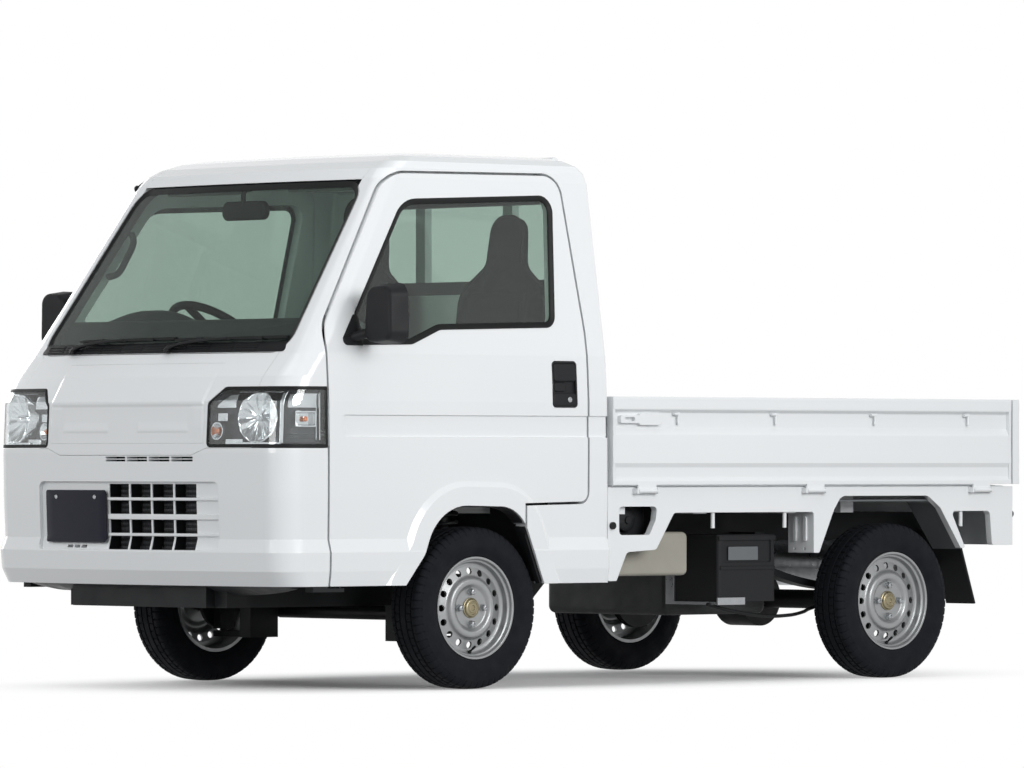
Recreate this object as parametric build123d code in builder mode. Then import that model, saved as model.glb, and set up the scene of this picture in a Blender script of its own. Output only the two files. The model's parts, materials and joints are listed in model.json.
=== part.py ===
"""Kei truck: a cab-over pickup with a drop-sided load bed, in separate named pieces.

Millimetres. X points forward, Y to the truck's left, Z up. The origin lies on the
ground under the middle of the truck.
"""

import os
from math import cos, radians, sin

from build123d import *

# Overall sizes, without the door mirrors
FRONT_OVERHANG = 893.5
WHEELBASE = 1900.0
REAR_OVERHANG = 601.5
WIDTH = 1475.0
HEIGHT = 1735.0
TRACK = 1296.0
MIRROR_REACH = 890.0

# Wheels
TYRE_RADIUS = 262.0
TYRE_WIDTH = 146.0
RIM_RADIUS = 165.0
RIM_WIDTH = 124.0
HUB_RADIUS = 28.0
DISC_HOLES = 16
HOLE_RADIUS = 11.0
HUB_REACH = 40.0
DRUM_RADIUS = 110.0
BRAKE_RADIUS = 85.0
RUN_GAP = 0.1

# Cab
CAB_LENGTH = 1467.5
SILL_Z = 338.0
WALL = 45.0
ROOF_WALL = 30.0
SHEET = 22.0
NOSE_PLAN_RADIUS = 4448.0
REAR_CORNER = 20.0
SILL_SETBACK = 30.0
SKIRT_STEP = 12.0
SEAM = 0.8
DOOR_GAP = 8.0
DOOR_SETBACK = 257.0
DOOR_PIN = 32.0
DOOR_REACH = 250.0
GLASS_INSET = 6.0
GLASS_THICK = 5.0
LENS_THICK = 5.0
LAMP_RIM = 6.0
BELT_Z = 1104.0
BELT_GROOVE = 5.0
CREASE_Z = 924.0
FLARE_WIDTH = 85.0
LINER_LIP = 10.0
HANDLE_DEPTH = 9.0
FLOOR_TOP_Z = 384.0
RECESS_DEPTH = 14.0
GRILLE_BAR = 8.0
GRILLE_ROW = 43.0
GRILLE_COLUMN = 99.0
CUSHION_HEIGHT = 146.0
BACK_LEAN = 6.0
RADIATOR_HALF = 335.0

# Load bed
GATE_HEIGHT = 289.0
GATE_THICK = 32.0
GATE_GAP = 7.0
GATE_RECESS = 16.0
GATE_END = 10.0
DECK_THICK = 25.0
FRONT_WALL = 30.0
SILL_THICK = 25.0
BARREL_RADIUS = 8.0
BARREL_LENGTH = 82.0
PIN_RADIUS = 5.0
EAR = 9.0
GUARD_TUBE = 17.0
GUARD_HALF = 432.0
GUARD_POST_Y = 217.0
GUARD_POST = 46.0

# Chassis
RAIL_INNER = 338.0
RAIL_OUTER = 393.0
RAIL_DEPTH = 95.0
SPRING_HALF = 440.0
SPRING_Y = 485.0
SPRING_WIDTH = 60.0
LEAF_THICK = 24.0
AXLE_RADIUS = 32.0
TANK_REACH = 640.0
BATTERY_LENGTH = 269.0

# Steering and front suspension
KINGPIN_INSET = 100.0
COLUMN_Y = -330.0
COLUMN_ANGLE = 52.0
COLUMN_LENGTH = 850.0
COLUMN_RADIUS = 20.0
COLUMN_SLEEVE = 36.0
STEERING_WHEEL_RADIUS = 185.0
STEERING_RIM = 14.0
STEERING_ARM = 120.0
ARM_THICK = 20.0
BALL_RADIUS = 12.0
STRUT_RADIUS = 20.0
STRUT_ROD = 10.0
MOUNT_THICK = 25.0
RACK_RADIUS = 24.0
TIE_RADIUS = 9.0

# Positions that follow from the sizes
LENGTH = FRONT_OVERHANG + WHEELBASE + REAR_OVERHANG
HALF = WIDTH / 2
FRONT_X = LENGTH / 2
REAR_X = -LENGTH / 2
CAB_REAR_X = FRONT_X - CAB_LENGTH
AXLE_Z = TYRE_RADIUS
FRONT_AXLE_X = FRONT_X - FRONT_OVERHANG
REAR_AXLE_X = REAR_X + REAR_OVERHANG
WHEEL_Y = TRACK / 2
WHEEL_INNER_Y = WHEEL_Y - TYRE_WIDTH / 2
KINGPIN_Y = WHEEL_Y - KINGPIN_INSET
ROOF_Z = HEIGHT - 4.0
DOOR_FRONT_X = FRONT_X - DOOR_SETBACK
DOOR_REAR_X = CAB_REAR_X + 98.0
DOOR_AXIS_X = DOOR_FRONT_X - 45.0
DOOR_AXIS_Y = HALF - 16.0
OUTSIDE_Y = HALF + 60.0
SEAT_DECK_Z = AXLE_Z + 402.0
DECK_UNDER_Z = SEAT_DECK_Z - SHEET
FLOOR_HALF = HALF - WALL - 38.0
DASH_HALF = HALF - 105.5
SEAT_HALF = (HALF - 237.5) / 2
SEAT_Y = (HALF - 47.5) / 2
BACK_HEIGHT = ROOF_Z - 168.5 - SEAT_DECK_Z - CUSHION_HEIGHT
RISER_X = FRONT_AXLE_X + 346.0
RAIL_TOP_Z = FLOOR_TOP_Z - SHEET
RAIL_LOW_Z = RAIL_TOP_Z - RAIL_DEPTH
RAIL_REAR_Z = AXLE_Z + 203.0
BEAM_Z = RAIL_REAR_Z + RAIL_DEPTH
DECK_Z = BEAM_Z + 90.0
BEAM_TOP_Z = DECK_Z - DECK_THICK
GATE_BOTTOM_Z = DECK_Z + 6.0
GATE_TOP_Z = GATE_BOTTOM_Z + GATE_HEIGHT
HINGE_Z = DECK_Z - 14.0
DROP_Z = RAIL_REAR_Z - 18.0
SKIRT_LOW_Z = BEAM_Z + 4.0
MUDGUARD_Z = BEAM_Z + 44.0
TAB_X = REAR_AXLE_X + 380.0
TAB_LOW_Z = DROP_Z - 20.0
SILL_Y = HALF - 2 * BARREL_RADIUS - 7.0
SILL_INNER = SILL_Y - SILL_THICK
GATE_AXIS_Y = HALF - BARREL_RADIUS
GATE_OUTER_Y = GATE_AXIS_Y + 1.0
GATE_INNER_Y = GATE_OUTER_Y - GATE_THICK
DECK_HALF = GATE_INNER_Y - 9.0
TAIL_AXIS_X = REAR_X + BARREL_RADIUS
TAIL_OUTER_X = TAIL_AXIS_X - 1.0
TAIL_INNER_X = TAIL_OUTER_X + GATE_THICK
GATE_REAR_X = TAIL_INNER_X + GATE_GAP
BED_FRONT_X = CAB_REAR_X - 12.0
BED_REAR_X = TAIL_AXIS_X + 2 * BARREL_RADIUS
GUARD_X = BED_FRONT_X - FRONT_WALL / 2
LEAF_LOW_Z = AXLE_Z + AXLE_RADIUS
HANGER_Z = RAIL_REAR_Z - 60.0
BATTERY_REAR_X = REAR_AXLE_X + SPRING_HALF + 44.0
BATTERY_FRONT_X = BATTERY_REAR_X + BATTERY_LENGTH
BATTERY_LOW_Z = RAIL_REAR_Z - 199.0
WALL_Y = WHEEL_INNER_Y + 17.0
ARM_Z = AXLE_Z - 92.0
RACK_X = FRONT_AXLE_X - STEERING_ARM
RACK_Z = RAIL_LOW_Z - 30.0
ARM_END_Y = KINGPIN_Y - 18.0
LAMP_LOW_Z = 779.0
LAMP_TOP_Z = 968.0
BUMPER_Z = LAMP_LOW_Z - 4.0
SCREEN_Z = 1080.0
ROOF_EDGE_Z = ROOF_Z - 95.0
ROOF_EDGE_Y = HALF - 197.5
BACK_EDGE_X = CAB_REAR_X + 110.0
BACK_EDGE_Y = HALF - 169.5
NOSE_EDGE_Y = HALF - 147.5
LAMP_INNER_Y = HALF - 337.5

# Plan sections of the cab: height, inset from the half width, setback from the nose,
# front corner radius, rear wall's step forward
CAB_SECTIONS = [
    (SILL_Z, 8.0, SILL_SETBACK, 90.0, 0.0),
    (385.0, 1.5, 5.0, 95.0, 0.0),
    (445.0, 0.0, 0.0, 95.0, 0.0),
    (487.0, SKIRT_STEP, SKIRT_STEP, 95.0, 0.0),
    (620.0, SKIRT_STEP - 2.0, 7.0, 95.0, 0.0),
    (760.0, SKIRT_STEP - 2.0, 5.0, 95.0, 0.0),
    (CREASE_Z, SKIRT_STEP, 13.0, 92.0, 0.0),
    (1003.0, SKIRT_STEP + 4.0, 60.0, 88.0, 0.0),
    (1075.0, SKIRT_STEP + 9.0, 123.0, 82.0, 0.0),
    (ROOF_Z - 91.0, 108.0, 525.0, 60.0, 2.0),
    (ROOF_Z - 58.0, 117.0, 560.0, 60.0, 10.0),
    (ROOF_Z - 34.0, 135.0, 605.0, 60.0, 26.0),
    (ROOF_Z - 15.0, 170.0, 665.0, 60.0, 56.0),
    (ROOF_Z - 5.0, 222.0, 725.0, 60.0, 98.0),
    (ROOF_Z, 290.0, 790.0, 60.0, 150.0),
]


def outline(rows, plane):
    """Closed face on a plane from rows of two positions and a corner radius."""
    with BuildSketch(plane) as sketch:
        with BuildLine():
            corners = [(a, b) for a, b, _ in rows]
            FilletPolyline(*corners, radius=[r for *_, r in rows], close=True)
        make_face()
    return sketch.sketch


def both_sides(rows):
    """Rows of one half of a symmetric outline, followed by their mirror image."""
    return rows + [(-a, b, r) for a, b, r in reversed(rows)]


def side_plane(y):
    """Upright plane along the truck at y; a piece drawn on it grows towards the right."""
    return Plane.XZ.offset(-y)


def cross_plane(x):
    """Upright plane across the truck at x; a piece drawn on it grows forwards."""
    return Plane.YZ.offset(x)


def block(low, high, mode=Mode.ADD):
    """Box between two opposite corners."""
    with Locations(tuple((a + b) / 2 for a, b in zip(low, high))):
        Box(*[b - a for a, b in zip(low, high)], mode=mode)


def rod(start, end, radius, mode=Mode.ADD):
    """Round bar between two points."""
    axis = Vector(*end) - Vector(*start)
    with Locations(Plane(origin=start, z_dir=axis).location):
        Cylinder(radius, axis.length, align=(Align.CENTER, Align.CENTER, Align.MIN), mode=mode)


def plan_section(row, inset):
    """One level cut of the cab, drawn in by a wall thickness."""
    z, narrow, setback, corner, step = row
    half = HALF - narrow - inset
    front = FRONT_X - setback - inset
    rear = CAB_REAR_X + step + inset
    bow = NOSE_PLAN_RADIUS - inset
    side_front = front - bow + (bow**2 - half**2) ** 0.5
    with BuildSketch(Plane.XY.offset(z)) as section:
        with BuildLine():
            Polyline((side_front, half), (rear, half), (rear, -half), (side_front, -half))
            ThreePointArc((side_front, -half), (front, 0), (side_front, half))
        make_face()
        fillet(section.vertices().group_by(Axis.X)[-1], radius=corner - inset / 2)
        fillet(section.vertices().group_by(Axis.X)[0], radius=max(REAR_CORNER - inset, 10.0))
    return section.sketch


def cab_volume(inset):
    """Solid cab, drawn in from its outer skin; an inner one runs on below the sill."""
    with BuildPart() as volume:
        if inset:
            add(plan_section((SILL_Z - WALL,) + CAB_SECTIONS[0][1:], inset))
        for row in CAB_SECTIONS[1 if inset else 0 :]:
            lower = inset * ROOF_WALL / WALL if row[0] > ROOF_Z - 60.0 else 0.0
            add(plan_section((row[0] - lower,) + row[1:], inset))
        loft(ruled=True)
    return volume.part


def cab_core(margin):
    """Bar of the cab's cross-section along the truck, drawn in from the sides."""
    left = [(HALF - narrow - margin, z, 0) for z, narrow, *_ in CAB_SECTIONS]
    rows = both_sides([(left[0][0], 0.0, 0)] + left)
    with BuildPart() as core:
        extrude(outline(rows, cross_plane(CAB_REAR_X - 9.0)), amount=CAB_LENGTH + 99.0)
    return core.part


def side_bar(rows, depth=OUTSIDE_Y - WHEEL_Y + 300.0):
    """Bar through the left side of the truck with an outline drawn from the side."""
    with BuildPart() as bar:
        extrude(outline(rows, side_plane(OUTSIDE_Y)), amount=depth)
    return bar.part


def front_bar(rows):
    """Bar through the front of the cab with an outline drawn from ahead."""
    with BuildPart() as bar:
        extrude(outline(rows, cross_plane(CAB_REAR_X + 500.0)), amount=CAB_LENGTH)
    return bar.part


# Outlines of openings and panels: two positions and a corner radius
DOOR_TOP_Z = ROOF_Z - 76.0
DOOR = [
    (DOOR_FRONT_X, SILL_Z - 30.0, 0),
    (DOOR_FRONT_X, BELT_Z + 46.0, 150),
    (FRONT_X - 592.0, DOOR_TOP_Z, 130),
    (DOOR_REAR_X + 44.0, DOOR_TOP_Z + 8.0, 70),
    (DOOR_REAR_X - 2.0, BELT_Z + 46.0, 400),
    (DOOR_REAR_X + 2.0, AXLE_Z + 341.0, 30),
    (FRONT_AXLE_X - 192.0, AXLE_Z + 336.0, 0),
    (FRONT_AXLE_X - 192.0, SILL_Z - 30.0, 0),
]
SIDE_WINDOW = [
    (FRONT_X - 405.0, BELT_Z, 15),
    (FRONT_X - 387.0, BELT_Z + 99.0, 15),
    (FRONT_X - 640.0, ROOF_Z - 160.0, 110),
    (DOOR_REAR_X + 78.0, ROOF_Z - 133.0, 50),
    (DOOR_REAR_X + 126.0, BELT_Z + 65.0, 40),
    (FRONT_AXLE_X + 150.0, BELT_Z + 52.0, 60),
    (FRONT_AXLE_X + 275.0, BELT_Z + 4.0, 60),
]
ARCH = [
    (FRONT_AXLE_X + 345.0, SILL_Z - 60.0, 0),
    (FRONT_AXLE_X + 322.0, SILL_Z, 40),
    (FRONT_AXLE_X + 240.0, AXLE_Z + 175.0, 120),
    (FRONT_AXLE_X + 181.0, AXLE_Z + 332.0, 175),
    (FRONT_AXLE_X - 172.0, AXLE_Z + 324.0, 130),
    (FRONT_AXLE_X - 300.0, SILL_Z - 60.0, 0),
]
BELT = [
    (CAB_REAR_X - 20.0, 811.0, 0),
    (DOOR_FRONT_X - 64.0, 811.0, 10),
    (DOOR_FRONT_X - 56.0, 880.0, 10),
    (CAB_REAR_X - 20.0, 880.0, 0),
]
HANDLE = [
    (DOOR_REAR_X + 44.0, 907.0, 14),
    (DOOR_REAR_X + 155.0, 907.0, 14),
    (DOOR_REAR_X + 151.0, 1059.0, 14),
    (DOOR_REAR_X + 44.0, 1059.0, 14),
]
SCREEN = both_sides([(HALF - 117.5, SCREEN_Z, 60), (HALF - 179.5, ROOF_Z - 103.0, 70)])
BACK_WINDOW = both_sides([(HALF - 207.5, ROOF_Z - 422.0, 50), (HALF - 227.5, ROOF_Z - 131.0, 50)])
LAMP = [
    (LAMP_INNER_Y, LAMP_LOW_Z, 15),
    (OUTSIDE_Y, LAMP_LOW_Z, 0),
    (OUTSIDE_Y, LAMP_TOP_Z, 0),
    (LAMP_INNER_Y + 50.0, LAMP_TOP_Z, 15),
    (LAMP_INNER_Y, LAMP_TOP_Z - 52.0, 15),
]
BUMPER_TOP = both_sides(
    [
        (OUTSIDE_Y, SILL_Z - 60.0, 0),
        (OUTSIDE_Y, BUMPER_Z, 0),
        (LAMP_INNER_Y, BUMPER_Z, 30),
        (LAMP_INNER_Y - 70.0, BUMPER_Z - 23.0, 30),
    ]
)
RECESS = both_sides([(450.0, 450.0, 16), (450.0, 668.0, 22)])
NOSE_CREASE = [(75.0, 826.0, 4), (315.0, 826.0, 4), (315.0, 837.0, 4), (75.0, 837.0, 4)]

cab_outer = cab_volume(0.0)
cab_inner = cab_volume(WALL)
lens_inner = cab_volume(LENS_THICK)
with BuildPart() as shell:
    add(cab_outer)
    add(cab_inner, mode=Mode.SUBTRACT)
    add(front_bar(SCREEN), mode=Mode.SUBTRACT)
    extrude(outline(BACK_WINDOW, cross_plane(CAB_REAR_X - 99.0)), amount=400.0, mode=Mode.SUBTRACT)
with BuildPart() as glass_shell:
    add(cab_volume(GLASS_INSET))
    add(cab_volume(GLASS_INSET + GLASS_THICK), mode=Mode.SUBTRACT)

door_bar = side_bar(DOOR, DOOR_REACH)
arch_bar = side_bar(ARCH)
window_bar = side_bar(SIDE_WINDOW)
with BuildPart() as door_opening:
    extrude(offset(outline(DOOR, side_plane(OUTSIDE_Y)), amount=DOOR_GAP), amount=DOOR_REACH)
    add(cab_core(WALL + DOOR_GAP), mode=Mode.SUBTRACT)
with BuildPart() as belt_groove:
    add(side_bar(BELT))
    add(cab_volume(BELT_GROOVE), mode=Mode.SUBTRACT)
with BuildPart() as handle_pocket:
    add(side_bar(HANDLE))
    add(cab_volume(HANDLE_DEPTH), mode=Mode.SUBTRACT)

# Flare round the front wheel arch, as proud as the skirt
with BuildPart() as flare:
    extrude(offset(outline(ARCH, side_plane(HALF - 1.0)), amount=FLARE_WIDTH), amount=20.0)
    chamfer(flare.faces().sort_by(Axis.Y)[-1].edges(), length=SKIRT_STEP, length2=2.0 * SKIRT_STEP)
    block((CAB_REAR_X, 0.0, SILL_Z), (FRONT_X, OUTSIDE_Y, ROOF_Z), Mode.INTERSECT)
    add(arch_bar, mode=Mode.SUBTRACT)

with BuildPart() as cab_roof:
    add(shell.part)
    block((CAB_REAR_X - 9.0, -ROOF_EDGE_Y, ROOF_EDGE_Z), (FRONT_X, ROOF_EDGE_Y, HEIGHT), Mode.INTERSECT)

with BuildPart() as cab_back:
    add(shell.part)
    block(
        (CAB_REAR_X - 9.0, -BACK_EDGE_Y, DECK_UNDER_Z - 20.0),
        (BACK_EDGE_X, BACK_EDGE_Y, ROOF_EDGE_Z - SEAM),
        Mode.INTERSECT,
    )
    add(door_opening.part, mode=Mode.SUBTRACT)
    add(mirror(door_opening.part, about=Plane.XZ, mode=Mode.PRIVATE), mode=Mode.SUBTRACT)

# Bumper with a recessed face, a barred opening ahead of the radiator and cooling slots
GRILLE_LEFT = -81.0
GRILLE_LOW = 451.0
ROWS_Z = [GRILLE_LOW, GRILLE_LOW + 53.0, GRILLE_LOW + 114.0, GRILLE_LOW + 167.0]
COLUMNS_Y = [GRILLE_LEFT + i * (GRILLE_COLUMN + GRILLE_BAR) for i in range(4)]
SLOTS = [(y, BUMPER_Z + drop) for y in COLUMNS_Y for drop in (-42.0, -33.0)]
LOW_SLOTS = [-302.0, -264.0, -226.0]
with BuildPart() as face_recess:
    extrude(outline(RECESS, cross_plane(DOOR_FRONT_X)), amount=400.0)
    add(cab_volume(RECESS_DEPTH), mode=Mode.SUBTRACT)
with BuildPart() as bumper:
    add(shell.part)
    extrude(
        outline(BUMPER_TOP, cross_plane(DOOR_FRONT_X + DOOR_GAP)), amount=600.0, mode=Mode.INTERSECT
    )
    add(face_recess.part, mode=Mode.SUBTRACT)
    for y in COLUMNS_Y:
        for z in ROWS_Z:
            block((FRONT_X - 200.0, y, z), (FRONT_X + 9.0, y + GRILLE_COLUMN, z + GRILLE_ROW), Mode.SUBTRACT)
    for y, z in SLOTS:
        block((FRONT_X - 200.0, y, z), (FRONT_X + 9.0, y + GRILLE_COLUMN, z + 6.0), Mode.SUBTRACT)
    for y in LOW_SLOTS:
        block((FRONT_X - 200.0, y, 455.0), (FRONT_X + 9.0, y + 30.0, 464.0), Mode.SUBTRACT)

lamp_bar = front_bar(LAMP)
with BuildPart() as nose_groove:
    add(front_bar(NOSE_CREASE))
    mirror(about=Plane.XZ)
    add(cab_volume(3.0), mode=Mode.SUBTRACT)
with BuildPart() as front_panel:
    add(shell.part)
    block(
        (DOOR_FRONT_X + DOOR_GAP, -NOSE_EDGE_Y, BUMPER_Z - 75.0),
        (FRONT_X + 50.0, NOSE_EDGE_Y, SCREEN_Z),
        Mode.INTERSECT,
    )
    add(front_bar(BUMPER_TOP).moved(Location((0, 0, SEAM))), mode=Mode.SUBTRACT)
    for lift in (-SEAM, SEAM):
        lamp_space = lamp_bar.moved(Location((0, -SEAM, lift)))
        add(lamp_space, mode=Mode.SUBTRACT)
        mirror(lamp_space, about=Plane.XZ, mode=Mode.SUBTRACT)
    add(nose_groove.part, mode=Mode.SUBTRACT)

# Lamps: a clear lens over a body whose pocket is open to the front
lamp_face = outline(LAMP, cross_plane(DOOR_FRONT_X + DOOR_GAP))
with BuildPart() as lamp_lenses:
    extrude(lamp_face, amount=400.0)
    add(cab_outer, mode=Mode.INTERSECT)
    add(lens_inner, mode=Mode.SUBTRACT)
    mirror(about=Plane.XZ)
with BuildPart() as lamp_pocket:
    extrude(offset(lamp_face, amount=-LAMP_RIM), amount=400.0)
    add(cab_volume(WALL - LAMP_RIM), mode=Mode.SUBTRACT)
with BuildPart() as lamp_bodies:
    extrude(lamp_face, amount=400.0)
    add(lens_inner, mode=Mode.INTERSECT)
    add(cab_inner, mode=Mode.SUBTRACT)
    add(lamp_pocket.part, mode=Mode.SUBTRACT)
    mirror(about=Plane.XZ)

# Each side of the cab: pillars, rear quarter and the end of the wheel arch
with BuildPart() as cab_side:
    add(shell.part)
    block(
        (CAB_REAR_X - 9.0, ROOF_EDGE_Y + SEAM, SILL_Z - 50.0), (FRONT_X, OUTSIDE_Y, HEIGHT), Mode.INTERSECT
    )
    block(
        (CAB_REAR_X - 9.0, 0.0, SILL_Z - 50.0), (BACK_EDGE_X, BACK_EDGE_Y + SEAM, ROOF_EDGE_Z), Mode.SUBTRACT
    )
    block((DOOR_FRONT_X, 0.0, 0.0), (FRONT_X + 9.0, OUTSIDE_Y, LAMP_TOP_Z + SEAM), Mode.SUBTRACT)
    block((DOOR_FRONT_X, 0.0, 0.0), (FRONT_X + 9.0, NOSE_EDGE_Y + SEAM, SCREEN_Z), Mode.SUBTRACT)
    add(belt_groove.part, mode=Mode.SUBTRACT)
    add(flare.part)
    add(door_opening.part, mode=Mode.SUBTRACT)
    add(arch_bar, mode=Mode.SUBTRACT)

with BuildPart() as windscreen:
    add(glass_shell.part)
    add(front_bar(SCREEN), mode=Mode.INTERSECT)

with BuildPart() as back_window:
    add(glass_shell.part)
    extrude(outline(BACK_WINDOW, cross_plane(CAB_REAR_X - 99.0)), amount=400.0, mode=Mode.INTERSECT)

# The door is the cab wall inside the door outline. Its front edge is rounded about the
# pivot, so that it turns clear of the pillar.
with BuildPart() as hinge_edge:
    block((DOOR_AXIS_X, 0.0, 0.0), (FRONT_X, OUTSIDE_Y, HEIGHT))
    rod(
        (DOOR_AXIS_X, DOOR_AXIS_Y, 0.0),
        (DOOR_AXIS_X, DOOR_AXIS_Y, HEIGHT),
        DOOR_FRONT_X - DOOR_AXIS_X + 3.0,
        Mode.SUBTRACT,
    )
with BuildPart() as door_panel:
    add(shell.part)
    add(belt_groove.part, mode=Mode.SUBTRACT)
    add(handle_pocket.part, mode=Mode.SUBTRACT)
    add(flare.part)
    add(door_bar, mode=Mode.INTERSECT)
    add(cab_core(WALL), mode=Mode.SUBTRACT)
    add(arch_bar, mode=Mode.SUBTRACT)
    add(window_bar, mode=Mode.SUBTRACT)
    add(hinge_edge.part, mode=Mode.SUBTRACT)
    rod(
        (DOOR_AXIS_X, DOOR_AXIS_Y, SILL_Z - 9.0),
        (DOOR_AXIS_X, DOOR_AXIS_Y, SILL_Z + DOOR_PIN),
        PIN_RADIUS + RUN_GAP,
        Mode.SUBTRACT,
    )

with BuildPart() as door_glass:
    add(glass_shell.part)
    add(window_bar, mode=Mode.INTERSECT)

# Pivot under each door's front corner, carried by the bumper's lower edge
PIVOT_LOW = (DOOR_AXIS_Y - 30.0, SILL_Z - 18.0)
with BuildPart() as door_pivots:
    block((DOOR_AXIS_X - 14.0, *PIVOT_LOW), (DOOR_FRONT_X + 70.0, DOOR_AXIS_Y + 7.0, SILL_Z - 6.0))
    block((DOOR_FRONT_X + DOOR_GAP + 2.0, *PIVOT_LOW), (DOOR_FRONT_X + 70.0, DOOR_AXIS_Y + 7.0, SILL_Z))
    rod(
        (DOOR_AXIS_X, DOOR_AXIS_Y, SILL_Z - 18.0),
        (DOOR_AXIS_X, DOOR_AXIS_Y, SILL_Z + DOOR_PIN - 2.0),
        PIN_RADIUS,
    )
    mirror(about=Plane.XZ)

# Door mirror: a tapered housing on an arm from the window's lower front corner
MIRROR_X = FRONT_X - 412.0
MIRROR_FACE = [
    (MIRROR_REACH - 150.0, BELT_Z - 4.0, 40),
    (MIRROR_REACH, BELT_Z + 4.0, 40),
    (MIRROR_REACH - 4.0, BELT_Z + 196.0, 45),
    (MIRROR_REACH - 138.0, BELT_Z + 190.0, 45),
]
with BuildPart() as door_mirror:
    extrude(outline(MIRROR_FACE, cross_plane(MIRROR_X - 35.0)), amount=70.0, taper=8.0)
    fillet(door_mirror.faces().sort_by(Axis.X)[-1].edges(), radius=14.0)
    rod((MIRROR_X, MIRROR_REACH - 110.0, BELT_Z + 46.0), (MIRROR_X + 50.0, HALF - 60.0, BELT_Z + 14.0), 16.0)
    add(cab_outer, mode=Mode.SUBTRACT)

FLOOR = [
    (FRONT_X - 100.0, DECK_UNDER_Z + 62.0, 0),
    (FRONT_X - 122.0, DECK_UNDER_Z + 62.0, 0),
    (FRONT_X - 137.0, FLOOR_TOP_Z, 60),
    (RISER_X, FLOOR_TOP_Z, 40),
    (RISER_X, SEAT_DECK_Z, 40),
    (CAB_REAR_X + WALL, SEAT_DECK_Z, 0),
    (CAB_REAR_X + WALL, DECK_UNDER_Z, 0),
    (RISER_X - SHEET, DECK_UNDER_Z, 20),
    (RISER_X - SHEET, RAIL_TOP_Z, 40),
    (FRONT_X - 115.0, RAIL_TOP_Z, 60),
]
with BuildPart() as cab_floor:
    extrude(outline(FLOOR, side_plane(FLOOR_HALF)), amount=2 * FLOOR_HALF)
    add(cab_volume(WALL + 1.0), mode=Mode.INTERSECT)
    block(
        (CAB_REAR_X + WALL, -BACK_EDGE_Y + 80.0, DECK_UNDER_Z),
        (CAB_REAR_X + WALL + 20.0, BACK_EDGE_Y - 80.0, SEAT_DECK_Z),
    )

column_axis = Vector(-cos(radians(COLUMN_ANGLE)), 0, sin(radians(COLUMN_ANGLE)))
wheel_centre = Vector(FRONT_X - 687.0, COLUMN_Y, BELT_Z + 36.0)
column_end = wheel_centre - column_axis * COLUMN_LENGTH
sleeve_end = wheel_centre - column_axis * 320.0
with BuildPart() as steering_column:
    rod(wheel_centre + column_axis * 12.0, column_end, COLUMN_RADIUS)
    rod(wheel_centre - column_axis * 60.0, sleeve_end, COLUMN_SLEEVE)

DASH = [
    (FRONT_X - 507.0, BELT_Z + 71.0, 40),
    (FRONT_X - 300.0, BELT_Z + 86.0, 60),
    (FRONT_X - 100.0, BELT_Z - 44.0, 0),
    (FRONT_X - 60.0, BELT_Z - 214.0, 0),
    (FRONT_X - 467.0, BELT_Z - 214.0, 50),
]
with BuildPart() as dashboard:
    extrude(outline(DASH, side_plane(DASH_HALF)), amount=2 * DASH_HALF)
    add(cab_volume(WALL + 0.6), mode=Mode.INTERSECT)
    rod(wheel_centre, sleeve_end - column_axis * 20.0, COLUMN_SLEEVE + 0.4, Mode.SUBTRACT)
    rod(wheel_centre, column_end, COLUMN_RADIUS + 0.4, Mode.SUBTRACT)

# Seats: cushions on the deck over the front axle, backs with a narrow head
with BuildPart() as seat_cushions:
    block(
        (CAB_REAR_X + 152.0, SEAT_Y - SEAT_HALF, SEAT_DECK_Z),
        (CAB_REAR_X + 642.0, SEAT_Y + SEAT_HALF, SEAT_DECK_Z + CUSHION_HEIGHT),
    )
    fillet(seat_cushions.edges().filter_by(Axis.Z), radius=60.0)
    mirror(about=Plane.XZ)

SEAT_BACK = both_sides(
    [
        (SEAT_HALF - 10.0, 0.0, 40),
        (SEAT_HALF - 25.0, BACK_HEIGHT - 272.0, 90),
        (105.0, BACK_HEIGHT - 192.0, 40),
        (92.0, BACK_HEIGHT, 50),
    ]
)
with BuildPart() as seat_backs:
    lean = Vector(cos(radians(BACK_LEAN)), 0, sin(radians(BACK_LEAN)))
    foot = (CAB_REAR_X + 205.0, SEAT_Y, SEAT_DECK_Z + CUSHION_HEIGHT + 5.5)
    extrude(outline(SEAT_BACK, Plane(origin=foot, x_dir=(0, 1, 0), z_dir=lean)), amount=-70.0)
    mirror(about=Plane.XZ)

with BuildPart() as radiator:
    block((FRONT_X - 99.0, -RADIATOR_HALF, RAIL_TOP_Z), (FRONT_X - 77.0, RADIATOR_HALF, BUMPER_Z - 85.0))

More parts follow.
